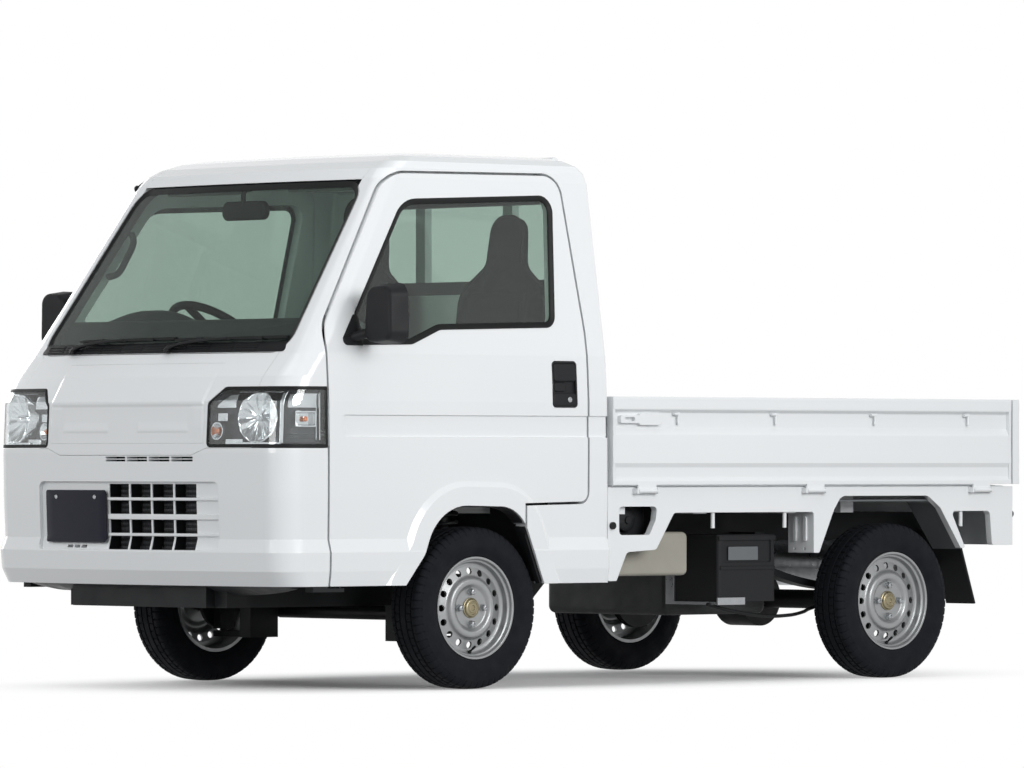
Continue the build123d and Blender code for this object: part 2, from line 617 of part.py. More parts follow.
# Ladder frame: two rails that step up behind the cab, and cross members
RAIL = [
    (FRONT_X - 115.0, RAIL_LOW_Z, 0),
    (FRONT_X - 115.0, RAIL_TOP_Z, 0),
    (CAB_REAR_X + 82.0, RAIL_TOP_Z, 60),
    (CAB_REAR_X - 128.0, BEAM_Z, 60),
    (REAR_X + 47.0, BEAM_Z, 0),
    (REAR_X + 47.0, RAIL_REAR_Z, 0),
    (CAB_REAR_X - 158.0, RAIL_REAR_Z, 60),
    (CAB_REAR_X + 52.0, RAIL_LOW_Z, 60),
]
LOW_MEMBERS = [FRONT_X - 137.0, FRONT_AXLE_X + 80.0, CAB_REAR_X + 180.0]
HIGH_MEMBERS = [CAB_REAR_X - 250.0, REAR_AXLE_X - 140.0, REAR_X + 70.0]
with BuildPart() as frame:
    extrude(outline(RAIL, side_plane(RAIL_OUTER)), amount=RAIL_OUTER - RAIL_INNER)
    for x in (REAR_AXLE_X - SPRING_HALF, REAR_AXLE_X + SPRING_HALF):
        block(
            (x - 22.0, RAIL_OUTER, HANGER_Z),
            (x + 22.0, SPRING_Y + SPRING_WIDTH / 2, RAIL_REAR_Z + 30.0),
        )
    mirror(about=Plane.XZ)
    for x in LOW_MEMBERS:
        block((x - 22.0, -RAIL_INNER, RAIL_LOW_Z), (x + 22.0, RAIL_INNER, RAIL_TOP_Z))
    for x in HIGH_MEMBERS:
        block((x - 22.0, -RAIL_INNER, RAIL_REAR_Z), (x + 22.0, RAIL_INNER, BEAM_Z))
    block((FRONT_X - 140.0, -RADIATOR_HALF, RAIL_LOW_Z), (FRONT_X - 77.0, RADIATOR_HALF, RAIL_TOP_Z))
    block((FRONT_X - 90.0, -50.0, SILL_Z + 2.0), (FRONT_X - SILL_SETBACK - WALL - 0.4, 50.0, RAIL_TOP_Z))

with BuildPart() as leaf_springs:
    with BuildSketch(side_plane(SPRING_Y + SPRING_WIDTH / 2)):
        with BuildLine():
            rear_eye = (REAR_AXLE_X - SPRING_HALF - 22.0, HANGER_Z - LEAF_THICK)
            front_eye = (REAR_AXLE_X + SPRING_HALF + 22.0, HANGER_Z - LEAF_THICK)
            front_top = (front_eye[0], HANGER_Z)
            rear_top = (rear_eye[0], HANGER_Z)
            ThreePointArc(rear_eye, (REAR_AXLE_X, LEAF_LOW_Z), front_eye)
            Line(front_eye, front_top)
            ThreePointArc(front_top, (REAR_AXLE_X, LEAF_LOW_Z + LEAF_THICK), rear_top)
            Line(rear_top, rear_eye)
        make_face()
    extrude(amount=SPRING_WIDTH)
    mirror(about=Plane.XZ)

# Rear axle: tube, drive housing, and at each end a drum, a hub and a spring seat
with BuildPart() as rear_axle:
    middle = (REAR_AXLE_X, 0.0, AXLE_Z)
    rod(middle, (REAR_AXLE_X, WHEEL_Y - 88.0, AXLE_Z), AXLE_RADIUS)
    rod(middle, (REAR_AXLE_X, 70.0, AXLE_Z), 95.0)
    rod((REAR_AXLE_X, WHEEL_Y - 103.0, AXLE_Z), (REAR_AXLE_X, WHEEL_Y - 76.0, AXLE_Z), DRUM_RADIUS)
    rod((REAR_AXLE_X, WHEEL_Y - 88.0, AXLE_Z), (REAR_AXLE_X, WHEEL_Y + HUB_REACH, AXLE_Z), HUB_RADIUS)
    block(
        (REAR_AXLE_X - 40.0, SPRING_Y - SPRING_WIDTH / 2, AXLE_Z),
        (REAR_AXLE_X + 40.0, SPRING_Y + SPRING_WIDTH / 2, LEAF_LOW_Z - 0.3),
    )
    mirror(about=Plane.XZ)

with BuildPart() as engine:
    block((REAR_AXLE_X + 196.0, -300.0, AXLE_Z - 47.0), (REAR_AXLE_X + 666.0, 300.0, RAIL_REAR_Z + 75.0))
    fillet(engine.edges(), radius=25.0)
    block(
        (REAR_AXLE_X + 396.0, -RAIL_INNER, RAIL_REAR_Z + 15.0),
        (REAR_AXLE_X + 466.0, RAIL_INNER, RAIL_REAR_Z + 60.0),
    )

SILENCER_X = REAR_AXLE_X - 344.0
SILENCER_Z = RAIL_REAR_Z - 85.0
with BuildPart() as exhaust:
    rod((SILENCER_X, -290.0, SILENCER_Z), (SILENCER_X, 260.0, SILENCER_Z), 80.0)
    for low, high in ((-RAIL_INNER, -270.0), (240.0, RAIL_INNER)):
        block((SILENCER_X - 10.0, low, SILENCER_Z), (SILENCER_X + 10.0, high, RAIL_REAR_Z + 20.0))
    rod((SILENCER_X, -230.0, SILENCER_Z - 40.0), (REAR_X + 60.0, -230.0, SILENCER_Z - 40.0), 20.0)

with BuildPart() as fuel_tank:
    block(
        (BATTERY_FRONT_X + 138.0, RAIL_OUTER, RAIL_REAR_Z - 109.0),
        (CAB_REAR_X - 83.0, TANK_REACH, RAIL_REAR_Z + 35.0),
    )
    fillet(fuel_tank.edges().filter_by(Axis.Y), radius=20.0)
    fillet(fuel_tank.faces().sort_by(Axis.Y)[-1].edges(), radius=12.0)

with BuildPart() as battery_box:
    block(
        (BATTERY_REAR_X, RAIL_OUTER, BATTERY_LOW_Z),
        (BATTERY_FRONT_X, TANK_REACH, RAIL_REAR_Z + 24.0),
    )
    fillet(battery_box.edges().filter_by(Axis.Z), radius=15.0)
    with BuildSketch(side_plane(TANK_REACH)):
        with Locations(((BATTERY_REAR_X + BATTERY_FRONT_X) / 2, RAIL_REAR_Z - 30.0)):
            RectangleRounded(BATTERY_LENGTH - 50.0, 76.0, 8.0)
    extrude(amount=4.0, mode=Mode.SUBTRACT)

# Tray of angle steel under the front half of the box
with BuildPart() as battery_tray:
    tray_x = BATTERY_FRONT_X - 120.0
    tray_front = BATTERY_FRONT_X + 6.0
    tray_low = BATTERY_LOW_Z - 10.0
    block((tray_x, RAIL_OUTER, tray_low), (tray_front, TANK_REACH, BATTERY_LOW_Z))
    block((tray_x, TANK_REACH, tray_low), (tray_front, TANK_REACH + 5.0, BATTERY_LOW_Z + 14.0))
    block((BATTERY_FRONT_X, RAIL_OUTER, tray_low), (tray_front, RAIL_OUTER + 40.0, RAIL_REAR_Z))

# Bed sill, seen from the side: a leg beside the cab with the filler's opening, a tab that
# carries the wheelhouse wall, the wheel arch, a stay behind the wheel and a drop end
SILL = [
    (BED_FRONT_X + 10.0, DECK_Z - 2.0, 0),
    (BED_FRONT_X + 10.0, SILL_Z + 4.0, 8),
    (BED_FRONT_X - 29.0, SILL_Z + 4.0, 8),
    (BED_FRONT_X - 76.0, DROP_Z - 11.0, 20),
    (BED_FRONT_X - 208.0, DROP_Z - 4.0, 20),
    (BED_FRONT_X - 289.0, SKIRT_LOW_Z, 20),
    (TAB_X, SKIRT_LOW_Z, 10),
    (TAB_X, TAB_LOW_Z, 6),
    (TAB_X - 26.0, TAB_LOW_Z, 6),
    (TAB_X - 95.0, SKIRT_LOW_Z + 6.0, 20),
    (REAR_AXLE_X + 250.0, SKIRT_LOW_Z + 53.0, 40),
    (REAR_AXLE_X - 165.0, SKIRT_LOW_Z + 53.0, 50),
    (REAR_AXLE_X - 225.0, SKIRT_LOW_Z + 11.0, 12),
    (REAR_AXLE_X - 324.0, TAB_LOW_Z + 11.0, 5),
    (REAR_AXLE_X - 346.0, TAB_LOW_Z + 11.0, 5),
    (REAR_AXLE_X - 277.0, SKIRT_LOW_Z, 12),
    (BED_REAR_X + 112.0, SKIRT_LOW_Z, 15),
    (BED_REAR_X + 100.0, DROP_Z, 10),
    (BED_REAR_X, DROP_Z, 0),
    (BED_REAR_X, DECK_Z - 2.0, 0),
]
FILLER = [
    (BED_FRONT_X - 41.0, DROP_Z + 45.0, 14),
    (BED_FRONT_X - 41.0, DROP_Z + 138.0, 14),
    (BED_FRONT_X - 212.0, DROP_Z + 138.0, 14),
    (BED_FRONT_X - 205.0, DROP_Z + 92.0, 20),
    (BED_FRONT_X - 178.0, DROP_Z + 45.0, 14),
]
# Cross beams: place along the truck and half length
BEAMS = [
    (BED_FRONT_X - 60.0, SILL_INNER),
    (BED_FRONT_X - 430.0, SILL_INNER),
    (TAB_X + 92.0, SILL_INNER),
    (REAR_AXLE_X + 60.0, WHEEL_INNER_Y - 25.0),
    (REAR_AXLE_X - 320.0, SILL_INNER),
]
HINGES = [BED_FRONT_X - 153.0, (BED_FRONT_X + BED_REAR_X) / 2 + 18.0, BED_REAR_X + 167.0]
TAIL_HINGES = [-480.0, 0.0, 480.0]
ROPE_PEGS = [BED_FRONT_X - 476.0, TAB_X + 126.0, BED_REAR_X + 243.0]
HINGE_HALF = BARREL_LENGTH / 2
EAR_ROUND = PIN_RADIUS + 2.0
with BuildPart() as bed_frame:
    extrude(outline(SILL, side_plane(SILL_Y)), amount=SILL_THICK)
    extrude(outline(FILLER, side_plane(SILL_Y)), amount=SILL_THICK, mode=Mode.SUBTRACT)
    for x in HINGES:
        for end in (x - HINGE_HALF - EAR - 1.0, x + HINGE_HALF + 1.0):
            block((end, SILL_Y - 1.0, HINGE_Z - 9.0), (end + EAR, GATE_AXIS_Y + EAR_ROUND, HINGE_Z + 9.0))
        pin_half = HINGE_HALF + EAR
        rod((x - pin_half, GATE_AXIS_Y, HINGE_Z), (x + pin_half, GATE_AXIS_Y, HINGE_Z), PIN_RADIUS)
    for x in ROPE_PEGS:
        rod((x, SILL_Y - 12.0, SKIRT_LOW_Z + 9.0), (x, SILL_Y - 12.0, SKIRT_LOW_Z - 52.0), 7.0)
    # Wheelhouse wall with two ribs and two bolt holes, and the inner arch with its rear end
    block((TAB_X - 8.0, WALL_Y, TAB_LOW_Z), (TAB_X, SILL_Y - 1.0, SKIRT_LOW_Z + 5.0))
    for share in (0.28, 0.68):
        y = WALL_Y + share * (SILL_Y - WALL_Y)
        with BuildSketch(cross_plane(TAB_X)):
            with Locations((y, (TAB_LOW_Z + SKIRT_LOW_Z) / 2 + 12.0)):
                SlotOverall(84.0, 14.0, rotation=90.0)
        extrude(amount=6.0)
        bolt_z = TAB_LOW_Z + 13.0
        rod((TAB_X - 20.0, y - 4.0, bolt_z), (TAB_X + 9.0, y - 4.0, bolt_z), 5.0, Mode.SUBTRACT)
    mirror(about=Plane.XZ)
    for x, half in BEAMS:
        block((x - 30.0, -half, BEAM_Z), (x + 30.0, half, BEAM_TOP_Z))
    block((BED_REAR_X, -SILL_INNER, DROP_Z), (BED_REAR_X + 20.0, SILL_INNER, BEAM_TOP_Z))
    for y in TAIL_HINGES:
        for end in (y - HINGE_HALF - EAR - 1.0, y + HINGE_HALF + 1.0):
            low = (TAIL_AXIS_X - EAR_ROUND, end, HINGE_Z - 16.0)
            block(low, (BED_REAR_X + 1.0, end + EAR, HINGE_Z + 9.0))
        rod((TAIL_AXIS_X, y - pin_half, HINGE_Z), (TAIL_AXIS_X, y + pin_half, HINGE_Z), PIN_RADIUS)

# Inner arch of each rear wheel: a sheet over the tyre that runs down behind it
MUDGUARD = [
    (REAR_AXLE_X + 306.0, MUDGUARD_Z, 0),
    (REAR_AXLE_X - 224.0, MUDGUARD_Z, 30),
    (REAR_AXLE_X - 356.0, TAB_LOW_Z + 11.0, 0),
    (REAR_AXLE_X - 350.0, TAB_LOW_Z + 7.0, 0),
    (REAR_AXLE_X - 221.0, MUDGUARD_Z - 6.0, 24),
    (REAR_AXLE_X + 306.0, MUDGUARD_Z - 6.0, 0),
]
FLAP = [
    (REAR_AXLE_X - 356.0, TAB_LOW_Z + 11.0, 0),
    (REAR_AXLE_X - 422.0, AXLE_Z - 14.0, 0),
    (REAR_AXLE_X - 416.0, AXLE_Z - 16.0, 0),
    (REAR_AXLE_X - 350.0, TAB_LOW_Z + 7.0, 0),
]
ARCH_INNER_Y = WHEEL_INNER_Y - 20.0
with BuildPart() as rear_mudguards:
    extrude(outline(MUDGUARD, side_plane(SILL_INNER)), amount=SILL_INNER - ARCH_INNER_Y)
    mirror(about=Plane.XZ)
with BuildPart() as mud_flaps:
    extrude(outline(FLAP, side_plane(SILL_INNER)), amount=SILL_INNER - ARCH_INNER_Y)
    mirror(about=Plane.XZ)

# Liner behind each front wheel, with a lip along the rear of the arch
with BuildPart() as wheel_liners:
    extrude(offset(outline(ARCH, side_plane(HALF - SKIRT_STEP)), amount=-0.3), amount=20.0)
    extrude(offset(outline(ARCH, side_plane(HALF)), amount=-LINER_LIP), amount=60.0, mode=Mode.SUBTRACT)
    block((CAB_REAR_X, 0.0, SILL_Z), (FRONT_AXLE_X - 202.0, HALF, AXLE_Z + 300.0), Mode.INTERSECT)
    block(
        (FRONT_AXLE_X - 342.0, RAIL_OUTER + 20.0, SILL_Z + 6.0),
        (FRONT_AXLE_X - 330.0, HALF - SKIRT_STEP - WALL - 0.4, DECK_UNDER_Z),
    )
    mirror(about=Plane.XZ)

# Rubber stops: place, end and side; the gates lie near them when they hang down
with BuildPart() as gate_stops:
    rod((BED_FRONT_X - 9.0, SILL_Y, DROP_Z + 76.0), (BED_FRONT_X - 9.0, SILL_Y + 8.0, DROP_Z + 76.0), 12.0)
    rod((BED_REAR_X, SILL_Y - 14.0, DROP_Z + 106.0), (BED_REAR_X - 9.0, SILL_Y - 14.0, DROP_Z + 106.0), 12.0)
    mirror(about=Plane.XZ)

with BuildPart() as bed_floor:
    block((GATE_REAR_X, -DECK_HALF, BEAM_TOP_Z), (BED_FRONT_X - FRONT_WALL, DECK_HALF, DECK_Z))

with BuildPart() as bed_front_wall:
    block((BED_FRONT_X - FRONT_WALL, -DECK_HALF, BEAM_TOP_Z), (BED_FRONT_X, DECK_HALF, GATE_TOP_Z))

with BuildPart() as guard_frame:
    bar_z = HEIGHT - GUARD_TUBE
    rod((GUARD_X, -GUARD_HALF, bar_z), (GUARD_X, GUARD_HALF, bar_z), GUARD_TUBE)
    for y in (-GUARD_POST_Y, GUARD_POST_Y):
        block((GUARD_X - 15.0, y - GUARD_POST / 2, GATE_TOP_Z), (GUARD_X + 15.0, y + GUARD_POST / 2, bar_z))

# Pressed section of a gate: depth from its outer face, height below its top, corner radius
GATE_SECTION = [
    (0.0, 0.0, 4),
    (0.0, 42.0, 6),
    (GATE_RECESS, 52.0, 6),
    (GATE_RECESS, 103.0, 10),
    (2.0, 123.0, 10),
    (0.0, 210.0, 0),
    (0.0, 218.0, 0),
    (7.0, 232.0, 6),
    (7.0, 264.0, 6),
    (0.0, 276.0, 4),
    (0.0, GATE_HEIGHT, 0),
    (GATE_THICK, GATE_HEIGHT, 0),
    (GATE_THICK, 0.0, 4),
]
gate_rows = [(GATE_OUTER_Y - depth, GATE_TOP_Z - drop, r) for depth, drop, r in GATE_SECTION]
tail_rows = [(TAIL_OUTER_X + depth, GATE_TOP_Z - drop, r) for depth, drop, r in GATE_SECTION]
GATE_LENGTH = BED_FRONT_X - GATE_REAR_X
HOOK_Z = GATE_TOP_Z - 56.0
HOOKS = [GATE_REAR_X + GATE_LENGTH * share for share in (0.11, 0.35, 0.6, 0.84)]
with BuildPart() as gate:
    extrude(outline(gate_rows, cross_plane(GATE_REAR_X)), amount=GATE_LENGTH)
    for x in (GATE_REAR_X, BED_FRONT_X - GATE_END):
        block((x, GATE_INNER_Y, GATE_BOTTOM_Z), (x + GATE_END, GATE_OUTER_Y - 1.0, GATE_TOP_Z - 10.0))
    for x in HOOKS:
        rod((x + 16.0, GATE_OUTER_Y - GATE_THICK / 2, HOOK_Z), (x + 16.0, GATE_OUTER_Y - 6.0, HOOK_Z), 5.0)
        rod((x + 21.0, GATE_OUTER_Y - 6.0, HOOK_Z), (x - 5.0, GATE_OUTER_Y - 6.0, HOOK_Z), 5.0)
        rod((x, GATE_OUTER_Y - 6.0, HOOK_Z + 5.0), (x, GATE_OUTER_Y - 6.0, HOOK_Z - 34.0), 5.0)
    # Toggle latch beside the cab: a lever and its bow
    with BuildSketch(side_plane(GATE_OUTER_Y - 1.0)):
        with Locations((BED_FRONT_X - 168.0, GATE_TOP_Z - 74.0)):
            RectangleRounded(100.0, 38.0, 8.0)
        with Locations((BED_FRONT_X - 82.0, GATE_TOP_Z - 74.0)):
            RectangleRounded(96.0, 26.0, 6.0)
        with Locations((BED_FRONT_X - 76.0, GATE_TOP_Z - 74.0)):
            RectangleRounded(44.0, 12.0, 4.0, mode=Mode.SUBTRACT)
    extrude(amount=GATE_RECESS)
    for x in HINGES:
        start = (x - HINGE_HALF, GATE_AXIS_Y, HINGE_Z)
        end = (x + HINGE_HALF, GATE_AXIS_Y, HINGE_Z)
        rod(start, end, BARREL_RADIUS)
        block((start[0], GATE_OUTER_Y - 7.0, HINGE_Z), (end[0], GATE_OUTER_Y, GATE_BOTTOM_Z + 1.0))
        rod(start, end, PIN_RADIUS + RUN_GAP, Mode.SUBTRACT)

with BuildPart() as tailgate:
    extrude(outline(tail_rows, side_plane(GATE_OUTER_Y)), amount=2 * GATE_OUTER_Y)
    for y in (-GATE_OUTER_Y, GATE_OUTER_Y - GATE_END):
        block((TAIL_OUTER_X + 1.0, y, GATE_BOTTOM_Z), (TAIL_INNER_X, y + GATE_END, GATE_TOP_Z - 10.0))
    for y in TAIL_HINGES:
        start = (TAIL_AXIS_X, y - HINGE_HALF, HINGE_Z)
        end = (TAIL_AXIS_X, y + HINGE_HALF, HINGE_Z)
        rod(start, end, BARREL_RADIUS)
        block((TAIL_OUTER_X, start[1], HINGE_Z), (TAIL_OUTER_X + 7.0, end[1], GATE_BOTTOM_Z + 1.0))
        rod(start, end, PIN_RADIUS + RUN_GAP, Mode.SUBTRACT)

with BuildPart() as tail_lamps:
    block((BED_REAR_X - 9.0, 470.0, DROP_Z + 23.0), (BED_REAR_X, 660.0, DROP_Z + 100.0))
    fillet(tail_lamps.edges().filter_by(Axis.X), radius=10.0)
    mirror(about=Plane.XZ)

# Front suspension and steering: the strut turns with the knuckle about an upright axis
with BuildPart() as front_suspension:
    block((FRONT_AXLE_X - 60.0, RAIL_INNER, ARM_Z - ARM_THICK), (FRONT_AXLE_X + 60.0, RAIL_OUTER, RAIL_LOW_Z))
    block(
        (FRONT_AXLE_X - 25.0, RAIL_OUTER - 5.0, ARM_Z - ARM_THICK),
        (FRONT_AXLE_X + 25.0, KINGPIN_Y + 22.0, ARM_Z),
    )
    rod((FRONT_AXLE_X, KINGPIN_Y, ARM_Z), (FRONT_AXLE_X, KINGPIN_Y, ARM_Z + 26.0), BALL_RADIUS)
    mirror(about=Plane.XZ)

MOUNT_LOW_Z = DECK_UNDER_Z - MOUNT_THICK
with BuildPart() as strut_mounts:
    rod((FRONT_AXLE_X, KINGPIN_Y, MOUNT_LOW_Z), (FRONT_AXLE_X, KINGPIN_Y, DECK_UNDER_Z), 60.0)
    rod(
        (FRONT_AXLE_X, KINGPIN_Y, MOUNT_LOW_Z),
        (FRONT_AXLE_X, KINGPIN_Y, DECK_UNDER_Z - 4.0),
        STRUT_ROD + RUN_GAP,
        Mode.SUBTRACT,
    )
    mirror(about=Plane.XZ)

with BuildPart() as knuckle:
    block(
        (FRONT_AXLE_X - 30.0, KINGPIN_Y - 22.0, ARM_Z + 6.0),
        (FRONT_AXLE_X + 30.0, KINGPIN_Y + 18.0, AXLE_Z + 84.0),
    )
    hub_start = (FRONT_AXLE_X, KINGPIN_Y + 10.0, AXLE_Z)
    rod(hub_start, (FRONT_AXLE_X, KINGPIN_Y + 24.0, AXLE_Z), BRAKE_RADIUS)
    rod(hub_start, (FRONT_AXLE_X, WHEEL_Y + HUB_REACH, AXLE_Z), HUB_RADIUS)
    for low, high, radius in (
        (AXLE_Z + 60.0, DECK_UNDER_Z - 60.0, STRUT_RADIUS),
        (DECK_UNDER_Z - 70.0, DECK_UNDER_Z - 6.0, STRUT_ROD),
    ):
        rod((FRONT_AXLE_X, KINGPIN_Y, low), (FRONT_AXLE_X, KINGPIN_Y, high), radius)
    block((RACK_X - 16.0, ARM_END_Y - 14.0, RACK_Z + 14.0), (FRONT_AXLE_X, ARM_END_Y + 14.0, RACK_Z + 34.0))
    rod(
        (FRONT_AXLE_X, KINGPIN_Y, ARM_Z),
        (FRONT_AXLE_X, KINGPIN_Y, ARM_Z + 28.0),
        BALL_RADIUS + RUN_GAP,
        Mode.SUBTRACT,
    )

with BuildPart() as steering_rack:
    rod((RACK_X, 0.0, RACK_Z), (RACK_X, RAIL_OUTER, RACK_Z), RACK_RADIUS)
    block((RACK_X - RACK_RADIUS, RAIL_INNER, RACK_Z), (RACK_X + RACK_RADIUS, RAIL_OUTER, RAIL_LOW_Z))
    rod((RACK_X, 0.0, RACK_Z), (RACK_X, RAIL_OUTER, RACK_Z), TIE_RADIUS + RUN_GAP, Mode.SUBTRACT)
    mirror(about=Plane.XZ)

with BuildPart() as tie_rods:
    rod((RACK_X, 0.0, RACK_Z), (RACK_X, ARM_END_Y, RACK_Z), TIE_RADIUS)
    rod((RACK_X, ARM_END_Y, RACK_Z - 12.0), (RACK_X, ARM_END_Y, RACK_Z + 12.0), 15.0)
    mirror(about=Plane.XZ)

RIM_PATH = STEERING_WHEEL_RADIUS - STEERING_RIM
with BuildPart(Plane(origin=wheel_centre, z_dir=column_axis)) as steering_wheel:
    Torus(RIM_PATH, STEERING_RIM)
    Cylinder(45.0, 40.0)
    for turn in (0.0, 110.0, 250.0):
        with Locations(Rotation(0, 0, turn)):
            with Locations((RIM_PATH / 2, 0, 0)):
                Box(RIM_PATH, 34.0, 12.0)
    with Locations((0, 0, -4.0)):
        Cylinder(COLUMN_RADIUS + RUN_GAP, 34.0, mode=Mode.SUBTRACT)

# Wheels: profiles turned about the axle, radius against distance from the wheel's middle
TREAD_HALF = TYRE_WIDTH / 2
RIM_HALF = RIM_WIDTH / 2
TYRE_PROFILE = [
    (RIM_RADIUS, -TREAD_HALF + 16.0, 0),
    (RIM_RADIUS + 40.0, -TREAD_HALF, 30),
    (TYRE_RADIUS - 16.0, -TREAD_HALF + 4.0, 10),
    (TYRE_RADIUS, -TREAD_HALF + 20.0, 10),
    (TYRE_RADIUS, TREAD_HALF - 20.0, 10),
    (TYRE_RADIUS - 16.0, TREAD_HALF - 4.0, 10),
    (RIM_RADIUS + 40.0, TREAD_HALF, 30),
    (RIM_RADIUS, TREAD_HALF - 16.0, 0),
]
DISC_PROFILE = [
    (RIM_RADIUS, -RIM_HALF, 0),
    (RIM_RADIUS, RIM_HALF, 0),
    (RIM_RADIUS - 7.0, RIM_HALF, 3),
    (RIM_RADIUS - 10.0, RIM_HALF - 12.0, 4),
    (RIM_RADIUS - 16.0, RIM_HALF - 14.0, 3),
    (RIM_RADIUS - 19.0, 28.0, 8),
    (RIM_RADIUS - 32.0, 26.0, 8),
    (RIM_RADIUS - 62.0, 33.0, 12),
    (RIM_RADIUS - 72.0, 47.0, 12),
    (RIM_RADIUS - 88.0, 47.0, 12),
    (RIM_RADIUS - 100.0, 36.0, 8),
    (HUB_RADIUS + RUN_GAP, 36.0, 0),
    (HUB_RADIUS + RUN_GAP, 29.0, 0),
    (RIM_RADIUS - 98.0, 29.0, 8),
    (RIM_RADIUS - 85.0, 40.0, 10),
    (RIM_RADIUS - 75.0, 40.0, 10),
    (RIM_RADIUS - 64.0, 25.0, 12),
    (RIM_RADIUS - 32.0, 18.0, 8),
    (RIM_RADIUS - 11.0, 16.0, 8),
    (RIM_RADIUS - 11.0, -RIM_HALF, 0),
]
turning_plane = Plane(origin=(0, 0, 0), x_dir=(0, 0, 1), z_dir=(-1, 0, 0))
with BuildPart() as tyre:
    revolve(outline(TYRE_PROFILE, turning_plane), axis=Axis.Y)
with BuildPart() as disc:
    revolve(outline(DISC_PROFILE, turning_plane), axis=Axis.Y)
    with BuildSketch(side_plane(RIM_HALF)):
        with PolarLocations(RIM_RADIUS - 46.0, DISC_HOLES):
            Circle(HOLE_RADIUS)
    extrude(amount=RIM_HALF, mode=Mode.SUBTRACT)

SINGLE = {
    "cab_roof": cab_roof,
    "cab_back": cab_back,
    "bumper": bumper,
    "front_panel": front_panel,
    "lamp_lenses": lamp_lenses,
    "lamp_bodies": lamp_bodies,
    "windscreen": windscreen,
    "back_window": back_window,
    "door_pivots": door_pivots,
    "cab_floor": cab_floor,
    "steering_column": steering_column,
    "steering_wheel": steering_wheel,
    "dashboard": dashboard,
    "seat_cushions": seat_cushions,
    "seat_backs": seat_backs,
    "radiator": radiator,
    "frame": frame,
    "leaf_springs": leaf_springs,
    "rear_axle": rear_axle,
    "engine": engine,
    "exhaust": exhaust,
    "fuel_tank": fuel_tank,
    "battery_box": battery_box,
    "battery_tray": battery_tray,
    "bed_frame": bed_frame,
    "bed_floor": bed_floor,
    "bed_front_wall": bed_front_wall,
    "rear_mudguards": rear_mudguards,
    "mud_flaps": mud_flaps,
    "wheel_liners": wheel_liners,
    "gate_stops": gate_stops,
    "guard_frame": guard_frame,
    "tailgate": tailgate,
    "tail_lamps": tail_lamps,
    "front_suspension": front_suspension,
    "strut_mounts": strut_mounts,
    "steering_rack": steering_rack,
    "tie_rods": tie_rods,
}
PAIRED = {
    "cab_side": cab_side,
    "door_panel": door_panel,
    "door_glass": door_glass,
    "door_mirror": door_mirror,
    "gate": gate,
    "knuckle": knuckle,
}
WHEELS = {"front": FRONT_AXLE_X, "rear": REAR_AXLE_X}

os.makedirs("parts", exist_ok=True)


def save(piece, name):
    """Label a finished piece and write it out."""
    piece.label = name
    export_step(piece, f"parts/{name}.step")


for name, builder in SINGLE.items():
    save(builder.part, name)
for name, builder in PAIRED.items():
    save(builder.part, f"{name}_left")
    save(mirror(builder.part, about=Plane.XZ), f"{name}_right")
for end, x in WHEELS.items():
    for name, builder in (("tyre", tyre), ("disc", disc)):
        left = builder.part.moved(Location((x, WHEEL_Y, AXLE_Z)))
        save(left, f"{name}_{end}_left")
        save(mirror(left, about=Plane.XZ), f"{name}_{end}_right")
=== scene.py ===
"""Kei truck, dressed: paint, glass, lamps, seals, seats, tread and small fittings.

Metres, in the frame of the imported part: X forward, Y to the truck's left, Z up.
"""

from __future__ import annotations

import json
import logging
import math
from dataclasses import dataclass, replace
from enum import Enum
from typing import Any, Callable, Sequence

import bmesh
import bpy
import numpy as np
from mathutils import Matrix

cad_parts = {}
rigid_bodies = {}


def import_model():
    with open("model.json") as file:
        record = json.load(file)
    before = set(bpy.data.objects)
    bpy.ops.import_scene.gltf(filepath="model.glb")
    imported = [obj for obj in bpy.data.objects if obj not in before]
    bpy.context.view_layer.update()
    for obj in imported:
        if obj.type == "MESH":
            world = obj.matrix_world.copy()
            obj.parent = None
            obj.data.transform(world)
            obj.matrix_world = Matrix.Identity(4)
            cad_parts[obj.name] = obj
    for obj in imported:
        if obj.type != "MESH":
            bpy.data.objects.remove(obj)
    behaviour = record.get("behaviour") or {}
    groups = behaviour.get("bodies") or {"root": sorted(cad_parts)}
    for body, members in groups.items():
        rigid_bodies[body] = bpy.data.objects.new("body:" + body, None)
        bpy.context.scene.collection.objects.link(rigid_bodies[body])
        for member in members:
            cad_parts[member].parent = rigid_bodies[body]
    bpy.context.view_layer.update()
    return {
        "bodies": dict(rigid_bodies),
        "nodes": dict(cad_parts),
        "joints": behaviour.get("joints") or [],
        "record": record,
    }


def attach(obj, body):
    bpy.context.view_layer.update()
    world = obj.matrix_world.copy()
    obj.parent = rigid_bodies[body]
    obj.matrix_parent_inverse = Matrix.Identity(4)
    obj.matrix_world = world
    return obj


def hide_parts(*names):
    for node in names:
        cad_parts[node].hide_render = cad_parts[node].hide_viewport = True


LOG = logging.getLogger("kei_truck")
MM = 0.001
Array = np.ndarray
Skin = Callable[[Array, Array, Array], Array]
Spot = tuple[float, float]
Corner = tuple[float, float, float]
UP = (0.0, 0.0, 1.0)
AHEAD = (1.0, 0.0, 0.0)
BACK = (-1.0, 0.0, 0.0)
LEFT = (0.0, 1.0, 0.0)
RIGHT = (0.0, -1.0, 0.0)
TINY = 1e-9
DRAWN_OUT = (0.05, 1.0, 1.0)
WHITE = (1.0, 1.0, 1.0, 1.0)
COAT_ROUGHNESS = 0.04
NOISE_RANGE = (0.3, 0.7)
FLUTES = 10
FLUTE_GAIN = 2.6


def mm(*values: float) -> Array:
    """Lengths given in millimetres, in metres."""
    return np.array(values) * MM


def rows_mm(width: int, *values: float) -> Array:
    """Lengths given in millimetres, in metres, as rows of a given width."""
    return mm(*values).reshape(-1, width)


